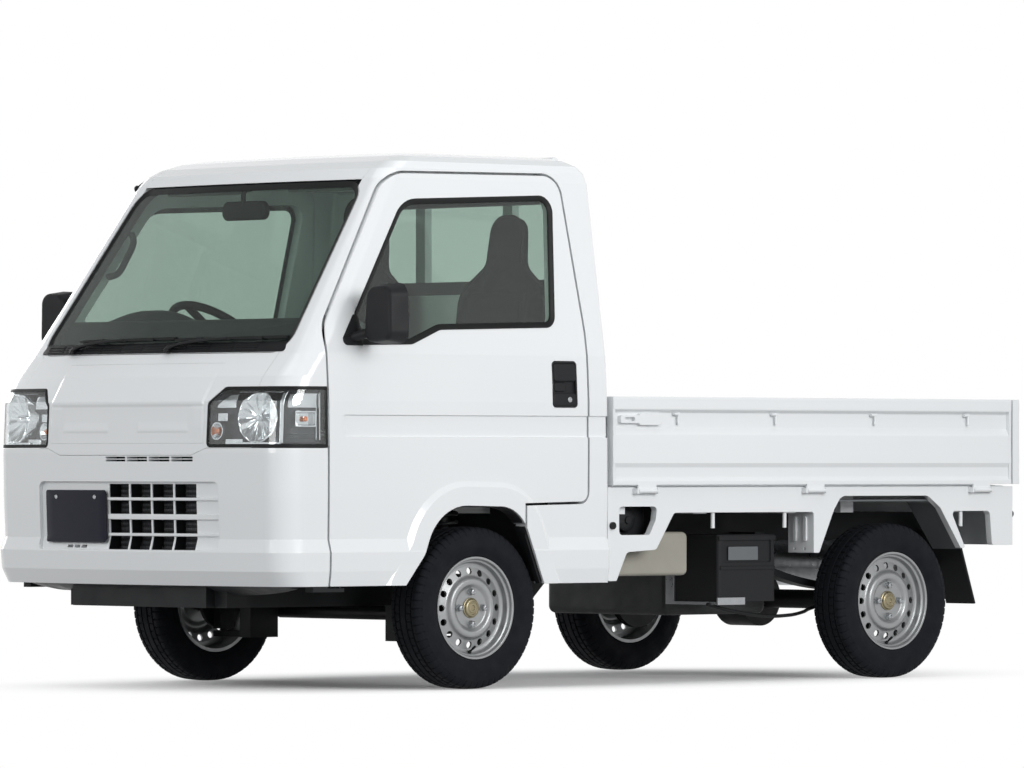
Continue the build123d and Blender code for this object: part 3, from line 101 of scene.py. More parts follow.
def linear(code: str) -> tuple[float, float, float, float]:
    """Turn an sRGB hex colour into linear light.

    Args:
        code: six hex digits after a hash sign.

    Returns:
        Red, green, blue and an alpha of one.
    """
    srgb = np.array([int(code[i : i + 2], 16) for i in (1, 3, 5)]) / 255.0
    light = np.where(srgb <= 0.04045, srgb / 12.92, ((srgb + 0.055) / 1.055) ** 2.4)
    return (*light.tolist(), 1.0)


def add_node(tree: bpy.types.NodeTree, kind: str, inputs: dict[Any, Any], **settings: Any) -> Any:
    """Add one shader node with its settings and links.

    Args:
        tree: the node tree that gets it.
        kind: the node's type name.
        inputs: socket name or number, to a value or to another node's output.
        settings: properties of the node.

    Returns:
        The new node.
    """
    made = tree.nodes.new(kind)
    for name, value in settings.items():
        setattr(made, name, value)
    for socket, value in inputs.items():
        if isinstance(value, bpy.types.NodeSocket):
            tree.links.new(value, made.inputs[socket])
        else:
            made.inputs[socket].default_value = value
    return made


def bare_tree(owner: bpy.types.Material | bpy.types.World) -> bpy.types.NodeTree:
    """Emptied node tree of a material or world."""
    owner.use_nodes = True
    owner.node_tree.nodes.clear()
    return owner.node_tree


def spread(tree: bpy.types.NodeTree, value: Any, source: Spot, target: Spot, **settings: Any) -> Any:
    """Map a value from one range to another.

    Args:
        tree: the node tree that gets the map.
        value: the socket with the value.
        source: the value's low and high ends.
        target: what comes out there.
        settings: properties of the node.

    Returns:
        The socket with the result.
    """
    names = ("Value", "From Min", "From Max", "To Min", "To Max")
    inputs = dict(zip(names, (value, *source, *target)))
    return add_node(tree, "ShaderNodeMapRange", inputs, **settings).outputs["Result"]


def mixed(tree: bpy.types.NodeTree, share: Any, first: Any, second: Any) -> Any:
    """Mix two shaders, the second by a share, and give the socket with the result."""
    return add_node(tree, "ShaderNodeMixShader", {0: share, 1: first, 2: second}).outputs["Shader"]


class Relief(Enum):
    """How a surface was made, which gives its fine relief."""

    SMOOTH = "polished or floated"
    PEEL = "sprayed"
    GRAIN = "moulded in a grained tool"
    CAST = "sand cast"
    BRUSHED = "drawn or brushed"
    WEAVE = "woven"


@dataclass(frozen=True)
class Finish:
    """One material: what it is made of and how its surface takes the light.

    Colour swings between two tones over mottle_mm, roughness by rough_swing, and relief
    rises and falls by relief_depth_mm over relief_mm. edge_mm rounds sharp edges, and shine
    is how strongly a dull surface mirrors, where one half is plain glossy plastic.
    """

    name: str
    slot: str
    colour: str
    shade: str
    roughness: float
    mottle_mm: float = 250.0
    rough_swing: float = 0.05
    metallic: float = 0.0
    ior: float = 1.5
    shine: float = 0.5
    transmission: float = 0.0
    coat: float = 0.0
    sheen: float = 0.0
    relief: Relief = Relief.SMOOTH
    relief_mm: float = 1.0
    relief_depth_mm: float = 0.0
    edge_mm: float = 0.0

    def material(self) -> bpy.types.Material:
        """Build the material once and hand out the same one after that."""
        known = bpy.data.materials.get(self.name)
        if known:
            return known
        made = bpy.data.materials.new(self.name)
        tree = bare_tree(made)
        place = add_node(tree, "ShaderNodeTexCoord", {}).outputs["Object"]
        noise = {"Vector": place, "Scale": 1 / (self.mottle_mm * MM), "Detail": 3.0}
        mottle = add_node(tree, "ShaderNodeTexNoise", noise).outputs["Fac"]
        tones = {0: mottle, 6: linear(self.colour), 7: linear(self.shade)}
        swing = (max(self.roughness - self.rough_swing, 0.0), self.roughness + self.rough_swing)
        inputs = {
            "Base Color": add_node(tree, "ShaderNodeMix", tones, data_type="RGBA").outputs[2],
            "Roughness": spread(tree, mottle, NOISE_RANGE, swing),
            "Metallic": self.metallic,
            "Transmission Weight": self.transmission,
            "Coat Weight": self.coat,
            "Coat Roughness": COAT_ROUGHNESS,
            "Sheen Weight": self.sheen,
        }
        if not self.metallic:
            inputs |= {"IOR": self.ior, "Specular IOR Level": self.shine}
        shader = add_node(tree, "ShaderNodeBsdfPrincipled", inputs)
        self._relief(tree, place, shader)
        surface = shader.outputs["BSDF"]
        if self.transmission:
            lamp_ray = add_node(tree, "ShaderNodeLightPath", {}).outputs["Is Shadow Ray"]
            film = add_node(tree, "ShaderNodeBsdfTransparent", {"Color": linear(self.colour)})
            surface = mixed(tree, lamp_ray, surface, film.outputs["BSDF"])
        add_node(tree, "ShaderNodeOutputMaterial", {"Surface": surface})
        return made

    def _relief(self, tree: bpy.types.NodeTree, place: Any, shader: Any) -> None:
        """Bend the surface's normal by the relief, on top of a softened edge.

        Args:
            tree: the material's node tree.
            place: the object coordinates.
            shader: the shader that takes the normal.
        """
        normal = None
        if self.edge_mm:
            normal = add_node(tree, "ShaderNodeBevel", {"Radius": self.edge_mm * MM}, samples=4).outputs[0]
            tree.links.new(normal, shader.inputs["Normal"])
        if self.relief is Relief.SMOOTH:
            return
        scale = 1 / (self.relief_mm * MM)
        if self.relief is Relief.WEAVE:
            thread = {"Vector": place, "Scale": scale / math.tau, "Distortion": 0.6}
            warp, weft = (
                add_node(tree, "ShaderNodeTexWave", thread, bands_direction=way).outputs["Fac"] for way in ("Y", "Z")
            )
            height = add_node(tree, "ShaderNodeMath", {0: warp, 1: weft}, operation="MAXIMUM").outputs[0]
        elif self.relief is Relief.GRAIN:
            height = add_node(tree, "ShaderNodeTexVoronoi", {"Vector": place, "Scale": scale}).outputs["Distance"]
        elif self.relief is Relief.BRUSHED:
            grain = {"Vector": place, "Scale": DRAWN_OUT}
            drawn = add_node(tree, "ShaderNodeMapping", grain).outputs["Vector"]
            height = add_node(tree, "ShaderNodeTexNoise", {"Vector": drawn, "Scale": scale}).outputs["Fac"]
        else:
            lumps = {"Vector": place, "Scale": scale, "Detail": 2.0}
            height = add_node(tree, "ShaderNodeTexNoise", lumps).outputs["Fac"]
        depth = {"Height": height, "Strength": 1.0, "Distance": self.relief_depth_mm * MM}
        bump = add_node(tree, "ShaderNodeBump", depth)
        if normal is not None:
            tree.links.new(normal, bump.inputs["Normal"])
        tree.links.new(bump.outputs["Normal"], shader.inputs["Normal"])


# White solid paint baked over pressed steel: glossy, with a faint sprayed ripple and soft
# hems. The ripple is drawn coarser than life so that it shows.
BODY_PAINT = Finish(
    "baked_white_enamel", "body_paint", "#EEF0F1", "#E8EBED", 0.22, mottle_mm=700.0, rough_swing=0.04,
    coat=0.7, relief=Relief.PEEL, relief_mm=9.0, relief_depth_mm=0.012, edge_mm=3.0,
)
# Black chassis paint, sprayed thickly: satin and a little uneven
CHASSIS_PAINT = Finish(
    "satin_black_chassis_paint", "chassis_paint", "#151617", "#1E2022", 0.5, shine=0.2, mottle_mm=90.0,
    rough_swing=0.1, relief=Relief.PEEL, relief_mm=6.0, relief_depth_mm=0.08, edge_mm=2.0,
)
# Grey primer left showing on brackets and inner arches: flat, with a dusty swing in tone
GREY_PRIMER = Finish(
    "grey_dip_primer", "chassis_paint", "#5E6265", "#6D7174", 0.6, mottle_mm=70.0, rough_swing=0.1,
    relief=Relief.PEEL, relief_mm=5.0, relief_depth_mm=0.05, edge_mm=1.5,
)
# Float glass with a green body tint
GLASS = Finish(
    "green_float_glass", "glass", "#C4D3CB", "#BCCCC4", 0.0, mottle_mm=900.0, rough_swing=0.0,
    transmission=1.0,
)
# Clear hard-coated polycarbonate
LENS = Finish(
    "clear_polycarbonate", "lens", "#F8FAFA", "#F1F5F6", 0.01, mottle_mm=400.0, rough_swing=0.01, ior=1.58,
    transmission=1.0,
)
# Vacuum-metallised lamp moulding: mirror bright with a slight swing
REFLECTOR = Finish(
    "aluminised_reflector", "lamp_body", "#E8EAEB", "#BFC3C6", 0.05, mottle_mm=40.0, rough_swing=0.04,
    metallic=1.0, edge_mm=1.0,
)
# Lamp housing with a thin dark metal coat
DARK_CHROME = Finish(
    "dark_chromed_housing", "lamp_body", "#3A3D40", "#24272A", 0.12, mottle_mm=24.0, rough_swing=0.06,
    metallic=1.0, edge_mm=1.0,
)
# Black polypropylene with a moulded grain
BLACK_PLASTIC = Finish(
    "grained_black_polypropylene", "black_plastic", "#17181A", "#1F2022", 0.5, shine=0.2, mottle_mm=60.0,
    rough_swing=0.08, relief=Relief.GRAIN, relief_mm=2.2, relief_depth_mm=0.12, edge_mm=1.5,
)
# Grey polypropylene of the cab's inside
TRIM_PLASTIC = Finish(
    "grained_grey_polypropylene", "trim_plastic", "#3B3D40", "#454749", 0.6, shine=0.25, mottle_mm=120.0,
    rough_swing=0.08, relief=Relief.GRAIN, relief_mm=2.5, relief_depth_mm=0.15, edge_mm=2.0,
)
# Woven polyester; the thread is drawn coarser than life so that the weave shows
SEAT_CLOTH = Finish(
    "woven_polyester_cloth", "seat_cloth", "#1B1C1E", "#161719", 0.9, shine=0.1, mottle_mm=60.0, sheen=0.05,
    relief=Relief.WEAVE, relief_mm=9.0, relief_depth_mm=0.15,
)
# Carbon-black rubber, moulded: matt with a dusty swing
TYRE_RUBBER = Finish(
    "vulcanised_tyre_rubber", "tyre_rubber", "#101216", "#181A1F", 0.78, shine=0.15, mottle_mm=45.0,
    rough_swing=0.1, relief=Relief.CAST, relief_mm=1.8, relief_depth_mm=0.12,
)
# EPDM seal rubber
SEAL_RUBBER = Finish(
    "extruded_seal_rubber", "black_plastic", "#101112", "#191A1B", 0.5, shine=0.2, mottle_mm=30.0,
    relief=Relief.PEEL, relief_mm=3.0, relief_depth_mm=0.05,
)
# Silver wheel paint with aluminium flake
WHEEL_SILVER = Finish(
    "silver_wheel_lacquer", "wheel_silver", "#9A9C9D", "#8F9192", 0.4, mottle_mm=35.0, rough_swing=0.06,
    metallic=0.65, coat=0.3, relief=Relief.PEEL, relief_mm=2.0, relief_depth_mm=0.02, edge_mm=1.5,
)
# Grey iron, sand cast and left bare
CAST_IRON = Finish(
    "sand_cast_iron", "cast", "#3C3D3E", "#4B4C4C", 0.62, mottle_mm=50.0, rough_swing=0.1, metallic=0.5,
    relief=Relief.CAST, relief_mm=3.0, relief_depth_mm=0.3, edge_mm=3.0,
)
# Zinc-plated steel, drawn
ZINC = Finish(
    "zinc_plated_steel", "metal", "#A9ABAD", "#94979A", 0.35, mottle_mm=25.0, rough_swing=0.1, metallic=1.0,
    relief=Relief.BRUSHED, relief_mm=1.2, relief_depth_mm=0.03, edge_mm=1.0,
)
# Zinc with a yellow passivate
GOLD_ZINC = Finish(
    "yellow_zinc_plated_steel", "metal", "#98907A", "#82795F", 0.42, mottle_mm=12.0, rough_swing=0.1,
    metallic=1.0, edge_mm=1.0,
)
# Grey-beige paint on the tank's pressed steel
TANK_PAINT = Finish(
    "beige_tank_paint", "tank", "#A7A498", "#98958A", 0.5, mottle_mm=80.0, rough_swing=0.08,
    relief=Relief.PEEL, relief_mm=5.0, relief_depth_mm=0.05, edge_mm=3.0,
)
# Red acrylic of the tail lamps
RED_LENS = Finish(
    "red_acrylic_lens", "red_lens", "#B3161A", "#8E0F13", 0.08, mottle_mm=20.0, rough_swing=0.03, coat=0.6,
    relief=Relief.GRAIN, relief_mm=6.0, relief_depth_mm=0.3,
)
# Amber acrylic of the bulbs and turn lamps
AMBER_LENS = Finish(
    "amber_acrylic_lens", "red_lens", "#D9731C", "#B4561A", 0.1, mottle_mm=9.0, rough_swing=0.04, coat=0.6,
    relief=Relief.GRAIN, relief_mm=4.0, relief_depth_mm=0.2,
)
# Smoked, glossy moulding behind the lamp's outer end
SMOKED_PLASTIC = Finish(
    "smoked_glossy_acrylic", "black_plastic", "#33373A", "#1E2225", 0.15, mottle_mm=30.0, rough_swing=0.05,
    edge_mm=1.0,
)
# Deep blue enamel on the blank plate, baked on sheet aluminium
NAVY_ENAMEL = Finish(
    "navy_baked_enamel", "black_plastic", "#101221", "#151727", 0.35, shine=0.15, mottle_mm=60.0,
    rough_swing=0.06, relief=Relief.PEEL, relief_mm=6.0, relief_depth_mm=0.03,
)
# Brazed aluminium fins, dulled by flux and dust
FIN_METAL = Finish(
    "brazed_aluminium_fins", "metal", "#4A4C4E", "#38393B", 0.55, mottle_mm=22.0, rough_swing=0.12,
    metallic=0.6,
)
# Silvered glass
MIRROR_GLASS = Finish(
    "silvered_mirror_glass", "glass", "#C9CED0", "#BFC5C8", 0.03, mottle_mm=120.0, rough_swing=0.01,
    metallic=1.0,
)
# Rubbery underseal sprayed under the cab floor and a rubber mat of the same black above it
UNDERSEAL = Finish(
    "sprayed_rubber_underseal", "chassis_paint", "#1B1C1D", "#262728", 0.75, shine=0.15, mottle_mm=50.0,
    rough_swing=0.1, relief=Relief.CAST, relief_mm=5.0, relief_depth_mm=0.4,
)
# Needled polyester felt of the roof lining and visors
HEADLINER = Finish(
    "needled_roof_felt", "trim_plastic", "#8B8E8C", "#7F8280", 0.9, mottle_mm=5.0, sheen=0.2,
    relief=Relief.CAST, relief_mm=3.0, relief_depth_mm=0.2,
)

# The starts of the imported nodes' names, by the finish that they wear; the longest start counts
NODE_STARTS: dict[Finish, tuple[str, ...]] = {
    BODY_PAINT: ("cab_", "bumper", "front_panel", "door_panel", "bed_", "guard_frame", "gate_", "tailgate"),
    CHASSIS_PAINT: (
        *("frame", "front_suspension", "door_pivots", "steering_", "leaf_springs"),
        *("rear_axle", "strut_mounts", "tie_rods", "knuckle"),
    ),
    GREY_PRIMER: ("rear_mudguards",),
    UNDERSEAL: ("cab_floor",),
    GLASS: ("windscreen", "back_window", "door_glass"),
    LENS: ("lamp_lenses",),
    DARK_CHROME: ("lamp_bodies",),
    RED_LENS: ("tail_lamps",),
    BLACK_PLASTIC: ("door_mirror", "steering_wheel", "battery_box", "wheel_liners", "mud_flaps"),
    TRIM_PLASTIC: ("dashboard",),
    SEAT_CLOTH: ("seat_",),
    SEAL_RUBBER: ("gate_stops",),
    TYRE_RUBBER: ("tyre",),
    WHEEL_SILVER: ("disc",),
    CAST_IRON: ("engine",),
    ZINC: ("radiator", "exhaust", "battery_tray"),
    TANK_PAINT: ("fuel_tank",),
}


@dataclass
class Patch:
    """A grid of points, joined into quads, with ends that may close on themselves.

    wrap_u and wrap_v join the last row or column to the first. cap closes the first and
    last rows with one face each.
    """

    points: Array
    wrap_u: bool = False
    wrap_v: bool = False
    cap: bool = False

    def faces(self, start: int) -> list[list[int]]:
        """Number the corner points of every face, from a first number on."""
        rows, columns = self.points.shape[:2]
        number = start + np.arange(rows * columns).reshape(rows, columns)
        along = np.concatenate([number, number[:1]]) if self.wrap_u else number
        grid = np.concatenate([along, along[:, :1]], axis=1) if self.wrap_v else along
        quads = np.stack([grid[:-1, :-1], grid[1:, :-1], grid[1:, 1:], grid[:-1, 1:]], axis=-1)
        made = quads.reshape(-1, 4).tolist()
        if self.cap:
            made += [number[0].tolist(), number[-1][::-1].tolist()]
        return made


def close_up(mesh: bpy.types.Mesh) -> None:
    """Merge points that meet at poles and borders, and turn every face outwards."""
    work = bmesh.new()
    work.from_mesh(mesh)
    bmesh.ops.remove_doubles(work, verts=work.verts, dist=1e-6)
    bmesh.ops.dissolve_degenerate(work, edges=work.edges, dist=1e-7)
    bmesh.ops.recalc_face_normals(work, faces=work.faces)
    work.to_mesh(mesh)
    work.free()


def piece(
    name: str, patches: list[Patch], finish: Finish, body: str = "chassis", smooth_deg: float = 40.0
) -> bpy.types.Object:
    """Make one object of several patches, dress it and let it ride on a body.

    Args:
        name: the piece's name.
        patches: its surfaces.
        finish: its material.
        body: the body that carries it.
        smooth_deg: edges sharper than this stay crisp.

    Returns:
        The new object.
    """
    starts = np.cumsum([0] + [p.points.shape[0] * p.points.shape[1] for p in patches])
    corners = np.concatenate([p.points.reshape(-1, 3) for p in patches])
    faces = [f for p, s in zip(patches, starts) for f in p.faces(int(s))]
    mesh = bpy.data.meshes.new(name)
    mesh.from_pydata(corners.tolist(), [], faces)
    close_up(mesh)
    mesh.polygons.foreach_set("use_smooth", np.ones(len(mesh.polygons), bool))
    mesh.set_sharp_from_angle(angle=math.radians(smooth_deg))
    mesh.materials.append(finish.material())
    made = bpy.data.objects.new(name, mesh)
    bpy.context.scene.collection.objects.link(made)
    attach(made, body)
    LOG.info("%s: %d faces on %s", name, len(faces), body)
    return made


def lathe(profile: Array, centre: Array, axis: Array, steps: int = 48) -> Patch:
    """Turn a profile about an axis.

    A point's place is the centre, plus its height along the axis, plus its radius times
    the cosine and sine of the turn in the two directions square to the axis.

    Args:
        profile: rows of radius and height.
        centre: a point on the axis, at height zero.
        axis: the axis direction.
        steps: points round a full turn.

    Returns:
        A patch that closes round the axis.
    """
    axis = np.asarray(axis, float) / np.linalg.norm(axis)
    side = np.cross(axis, UP if abs(axis[2]) < 0.9 else AHEAD)
    side /= np.linalg.norm(side)
    other = np.cross(axis, side)
    turn = np.linspace(0.0, math.tau, steps, endpoint=False)
    round_ = np.cos(turn)[:, None] * side + np.sin(turn)[:, None] * other
    radius, height = np.asarray(profile, float).T
    points = centre + radius[:, None, None] * round_ + (height[:, None] * axis)[:, None, :]
    return Patch(points, wrap_v=True, cap=True)


def sweep(path: Array, profile: Array, up: Array, closed: bool = False) -> Patch:
    """Carry a closed profile along a path.

    At each path point the profile's first direction is the path's tangent crossed with
    up, and its second is square to both.

    Args:
        path: points in space.
        profile: rows of two offsets.
        up: a direction that the path never follows.
        closed: whether the path returns to its start.

    Returns:
        A patch round the path, capped where the path is open.
    """
    path = np.asarray(path, float)
    ahead = np.roll(path, -1, axis=0) - np.roll(path, 1, axis=0) if closed else np.gradient(path, axis=0)
    ahead /= np.linalg.norm(ahead, axis=1, keepdims=True)
    side = np.cross(ahead, np.asarray(up, float))
    side /= np.linalg.norm(side, axis=1, keepdims=True)
    rise = np.cross(side, ahead)
    a, b = np.asarray(profile, float).T
    points = path[:, None] + a[None, :, None] * side[:, None] + b[None, :, None] * rise[:, None]
    return Patch(points[:, ::-1], wrap_u=closed, wrap_v=True, cap=not closed)


def circle(radius: float, steps: int = 16) -> Array:
    """Points of a circle, as two offsets each."""
    turn = np.linspace(0.0, math.tau, steps, endpoint=False)
    return radius * np.stack([np.cos(turn), np.sin(turn)], axis=1)


def rod(path: Array, radius: float, steps: int, up: Array, closed: bool = False) -> Patch:
    """Round rod along a path.

    Args:
        path: points in space, in metres.
        radius: the rod's radius, in millimetres.
        steps: points round the rod.
        up: a direction that the path never follows.
        closed: whether the path returns to its start.

    Returns:
        A patch round the path.
    """
    return sweep(path, circle(radius * MM, steps), up, closed)


def blend(value: Array, start: float, end: float) -> Array:
    """Smooth step from zero at start to one at end."""
    share = np.clip((value - start) / (end - start), 0.0, 1.0)
    return share * share * (3 - 2 * share)


def bell(distance: Array, width: float) -> Array:
    """Bell curve: one at no distance, and falling with the square of distance over width."""
    return np.exp(-((distance / width) ** 2))


def ramp(value: Array, run: float) -> Array:
    """Straight rise from zero at zero to one at the run's end."""
    return np.clip(value / run, 0.0, 1.0)


def spline(points: Array, steps: int = 60) -> Array:
    """Smooth line through points: a cubic between each two, whose slopes come from the neighbours.

    Args:
        points: the points that it passes.
        steps: how many points come out.

    Returns:
        The points of the smooth line.
    """
    points = np.asarray(points, float)
    slope = np.gradient(points, axis=0)
    where = np.linspace(0.0, len(points) - 1.0, steps)
    low = np.minimum(where.astype(int), len(points) - 2)
    t = (where - low)[:, None]
    start, end = points[low], points[low + 1]
    return (
        (2 * t**3 - 3 * t**2 + 1) * start
        + (t**3 - 2 * t**2 + t) * slope[low]
        + (3 * t**2 - 2 * t**3) * end
        + (t**3 - t**2) * slope[low + 1]
    )


def rounded(rows: Sequence[Corner], steps: int = 7) -> Array:
    """Closed outline with rounded corners, anticlockwise.

    Each corner becomes an arc that touches both its edges: its ends lie at the radius
    over the tangent of half the corner's angle, and it is drawn as a cubic blend.

    Args:
        rows: two positions and a corner radius, in millimetres.
        steps: points to a corner.

    Returns:
        The outline's points in metres.
    """
    table = np.asarray(rows, float) * MM
    corner, radius = table[:, :2], table[:, 2]
    before = np.roll(corner, 1, axis=0) - corner
    after = np.roll(corner, -1, axis=0) - corner
    before /= np.linalg.norm(before, axis=1, keepdims=True)
    after /= np.linalg.norm(after, axis=1, keepdims=True)
    half = np.arccos(np.clip((before * after).sum(1), -1.0, 1.0)) / 2
    reach = (radius / np.tan(half))[:, None]
    start, end = corner + before * reach, corner + after * reach
    middle = before + after
    middle /= np.maximum(np.linalg.norm(middle, axis=1, keepdims=True), TINY)
    centre = corner + middle * (radius / np.sin(half))[:, None]
    t = np.linspace(0.0, 1.0, steps)[None, :, None]
    chord = start[:, None] * (1 - t) + end[:, None] * t - centre[:, None]
    length = np.linalg.norm(chord, axis=2, keepdims=True)
    arc = centre[:, None] + chord / np.maximum(length, TINY) * radius[:, None, None]
    return arc.reshape(-1, 2)


def grown(outline: Array, amount: float) -> Array:
    """Outline moved outwards by an amount, each point along the mean of its edges' normals."""
    edge = np.roll(outline, -1, axis=0) - outline
    length = np.linalg.norm(edge, axis=1, keepdims=True)
    edge = np.where(length > TINY, edge / np.maximum(length, TINY), 0.0)
    normal = np.stack([edge[:, 1], -edge[:, 0]], axis=1)
    mean = normal + np.roll(normal, 1, axis=0)
    size = np.maximum((mean * mean).sum(1, keepdims=True) / 2, 0.3)
    return outline + amount * mean / size


def band(outline: Array, offsets: Array, depths: Array, skin: Skin) -> Patch:
    """Carry a closed profile round an outline that lies on a skin.

    Args:
        outline: the outline's two positions on the skin.
        offsets: how far each profile point stands outside the outline.
        depths: how far each profile point lies below the skin.
        skin: turns two positions and a depth into a point in space.

    Returns:
        A patch whose rows are the profile points.
    """
    rings = np.stack([grown(outline, o) for o in offsets])
    depth = np.broadcast_to(np.asarray(depths, float)[:, None], rings.shape[:2])
    return Patch(skin(rings[..., 0], rings[..., 1], depth), wrap_u=True, wrap_v=True)


def plate(outline: Array, top: float, bottom: float, edge: float, skin: Skin) -> Patch:
    """Plate on a skin, with rounded edges: rings from the middle out, round the edge and back below.

    Args:
        outline: its outline on the skin, in metres.
        top: depth of its face, in millimetres.
        bottom: depth of its underside, in millimetres.
        edge: radius of its edges, in millimetres.
        skin: the skin that carries it.

    Returns:
        A closed patch.
    """
    top, bottom, edge = mm(top, bottom, edge)
    turn = np.linspace(0.0, math.pi / 2, 4)
    inward = edge * (1 - np.cos(turn))
    rise = edge * np.sin(turn)
    loops = np.stack([grown(outline, -o) for o in np.concatenate([inward[::-1], inward])])
    depths = np.concatenate([top + edge - rise[::-1], bottom - edge + rise])
    share = np.linspace(0.0, 1.0, 4, endpoint=False)[:, None, None]
    middle = outline.mean(axis=0)
    face = middle + share * (loops[:1] - middle)
    under = middle + share[::-1] * (loops[-1:] - middle)
    rings = np.concatenate([face, loops, under])
    depth = np.concatenate([np.full(4, depths[0]), depths, np.full(4, depths[-1])])
    depth = np.broadcast_to(depth[:, None], rings.shape[:2])
    return Patch(skin(rings[..., 0], rings[..., 1], depth), wrap_v=True)


def flat(origin: Array, a_way: Array, b_way: Array) -> Skin:
    """Flat skin through a point; depth runs against the cross product of its two directions.

    Args:
        origin: where both positions are zero.
        a_way: direction of the first position.
        b_way: direction of the second position.

    Returns:
        The skin.
    """
    start, first, second = (np.asarray(v, float) for v in (origin, a_way, b_way))
    out = np.cross(first, second)

    def place(a: Array, b: Array, depth: Array) -> Array:
        """Point at two positions and a depth."""
        return start + a[..., None] * first + b[..., None] * second - depth[..., None] * out

    return place


@dataclass(frozen=True)
class Side:
    """One side of the truck: its word and its sign along Y."""

    word: str
    sign: int


SIDES = (Side("left", 1), Side("right", -1))


def mirrored(patches: list[Patch], sign: int) -> list[Patch]:
    """Patches made for the left side, moved to the side that the sign gives."""
    return [replace(p, points=p.points * (1.0, sign, 1.0)) for p in patches]


def paired(name: str, patches: list[Patch], finish: Finish, body: str = "chassis") -> None:
    """Make a piece on the left and its mirror image on the right.

    Args:
        name: the piece's name without its side.
        patches: surfaces of the left piece.
        finish: its material.
        body: the body that carries it, with braces where the side's word goes.
    """
    for side in SIDES:
        piece(f"{name}_{side.word}", mirrored(patches, side.sign), finish, body.format(side.word))


def dense(outline: Array, step: float = 0.014) -> Array:
    """Closed outline with points added along its straight runs, evenly by length."""
    loop = np.concatenate([outline, outline[:1]])
    run = np.concatenate([[0.0], np.cumsum(np.linalg.norm(np.diff(loop, axis=0), axis=1))])
    places = np.unique(np.concatenate([run, np.arange(0.0, run[-1], step)]))[:-1]
    places = places[np.concatenate([[True], np.diff(places) > 1e-5])]
    return np.stack([np.interp(places, run, loop[:, k]) for k in (0, 1)], axis=1)


def dish(skin: Skin, centre: Spot, rows: Array, steps: int = 40, flute: float = 0.0) -> Patch:
    """Round form on a skin: rings about a centre, each with its radius and depth.

    A ring's point lies at the centre plus the radius times the cosine and sine of the
    turn. Flutes add a wave to the depth, which grows with the radius squared and fades again
    at the rim.

    Args:
        skin: the skin that carries it.
        centre: two positions on the skin, in millimetres.
        rows: radius and depth of each ring, in millimetres.
        steps: points to a ring.
        flute: height of the flutes, in millimetres.

    Returns:
        A patch that closes round the centre.
    """
    radius, depth = np.asarray(rows, float).T * MM
    turn = np.linspace(0.0, math.tau, steps, endpoint=False)
    a = centre[0] * MM + radius[:, None] * np.cos(turn)
    b = centre[1] * MM + radius[:, None] * np.sin(turn)
    share = radius[:, None] / radius.max()
    wave = FLUTE_GAIN * flute * MM * np.cos(FLUTES * turn) * share**2 * (1 - share**4)
    return Patch(skin(a, b, depth[:, None] + wave), wrap_v=True)


def bowl(radius: float, rim: float, floor: float, foot: float, rings: int = 12) -> Array:
    """Rings of a reflector: depth falls from the floor to the rim with the radius squared, then turns over."""
    share = np.linspace(0.0, 1.0, rings)
    inside = np.stack([radius * share, floor - (floor - rim) * share**2], axis=1)
    lip = [(radius + 2, rim - 0.5), (radius + 4, rim), (radius + 5, rim + 3), (radius + 5, foot)]
    return np.concatenate([inside, lip])


def slab(front: Array, away: Corner) -> list[Patch]:
    """Closed slab: a grid, its copy moved by a step, and the strip that joins their borders."""
    border = np.concatenate([front[0], front[1:, -1], front[-1, -2::-1], front[-2:0:-1, 0]])
    return [Patch(front), Patch(front[:, ::-1] + away), Patch(np.stack([border, border + away]), wrap_v=True)]


def box_outline(low: Spot, high: Spot, radius: float) -> Array:
    """Rounded rectangle between two corners, in millimetres, as an outline in metres."""
    return rounded(
        [(low[0], low[1], radius), (high[0], low[1], radius), (high[0], high[1], radius), (low[0], high[1], radius)]
    )


def pad(skin: Skin, low: Spot, high: Spot, radius: float, top: float, bottom: float, edge: float) -> Patch:
    """Plate in the shape of a rounded rectangle, in millimetres throughout.

    Args:
        skin: the skin that carries it.
        low: its lower corner on the skin.
        high: its upper corner on the skin.
        radius: radius of its corners.
        top: depth of its face.
        bottom: depth of its underside.
        edge: radius of its edges.

    Returns:
        A closed patch.
    """
    return plate(dense(box_outline(low, high, radius)), top, bottom, edge, skin)


# The cab's plan sections: height, narrowing of the half width, setback of the nose, front
# corner radius and the rear wall's step forward, in millimetres
CAB_ROWS = (
    (338, 8, 30, 90, 0),
    (385, 1.5, 5, 95, 0),
    (445, 0, 0, 95, 0),
    (487, 12, 12, 95, 0),
    (620, 10, 7, 95, 0),
    (760, 10, 5, 95, 0),
    (924, 12, 13, 92, 0),
    (1003, 16, 60, 88, 0),
    (1075, 21, 123, 82, 0),
    (1640, 108, 525, 60, 2),
    (1673, 117, 560, 60, 10),
    (1697, 135, 605, 60, 26),
    (1716, 170, 665, 60, 56),
    (1726, 222, 725, 60, 98),
    (1731, 290, 790, 60, 150),
)


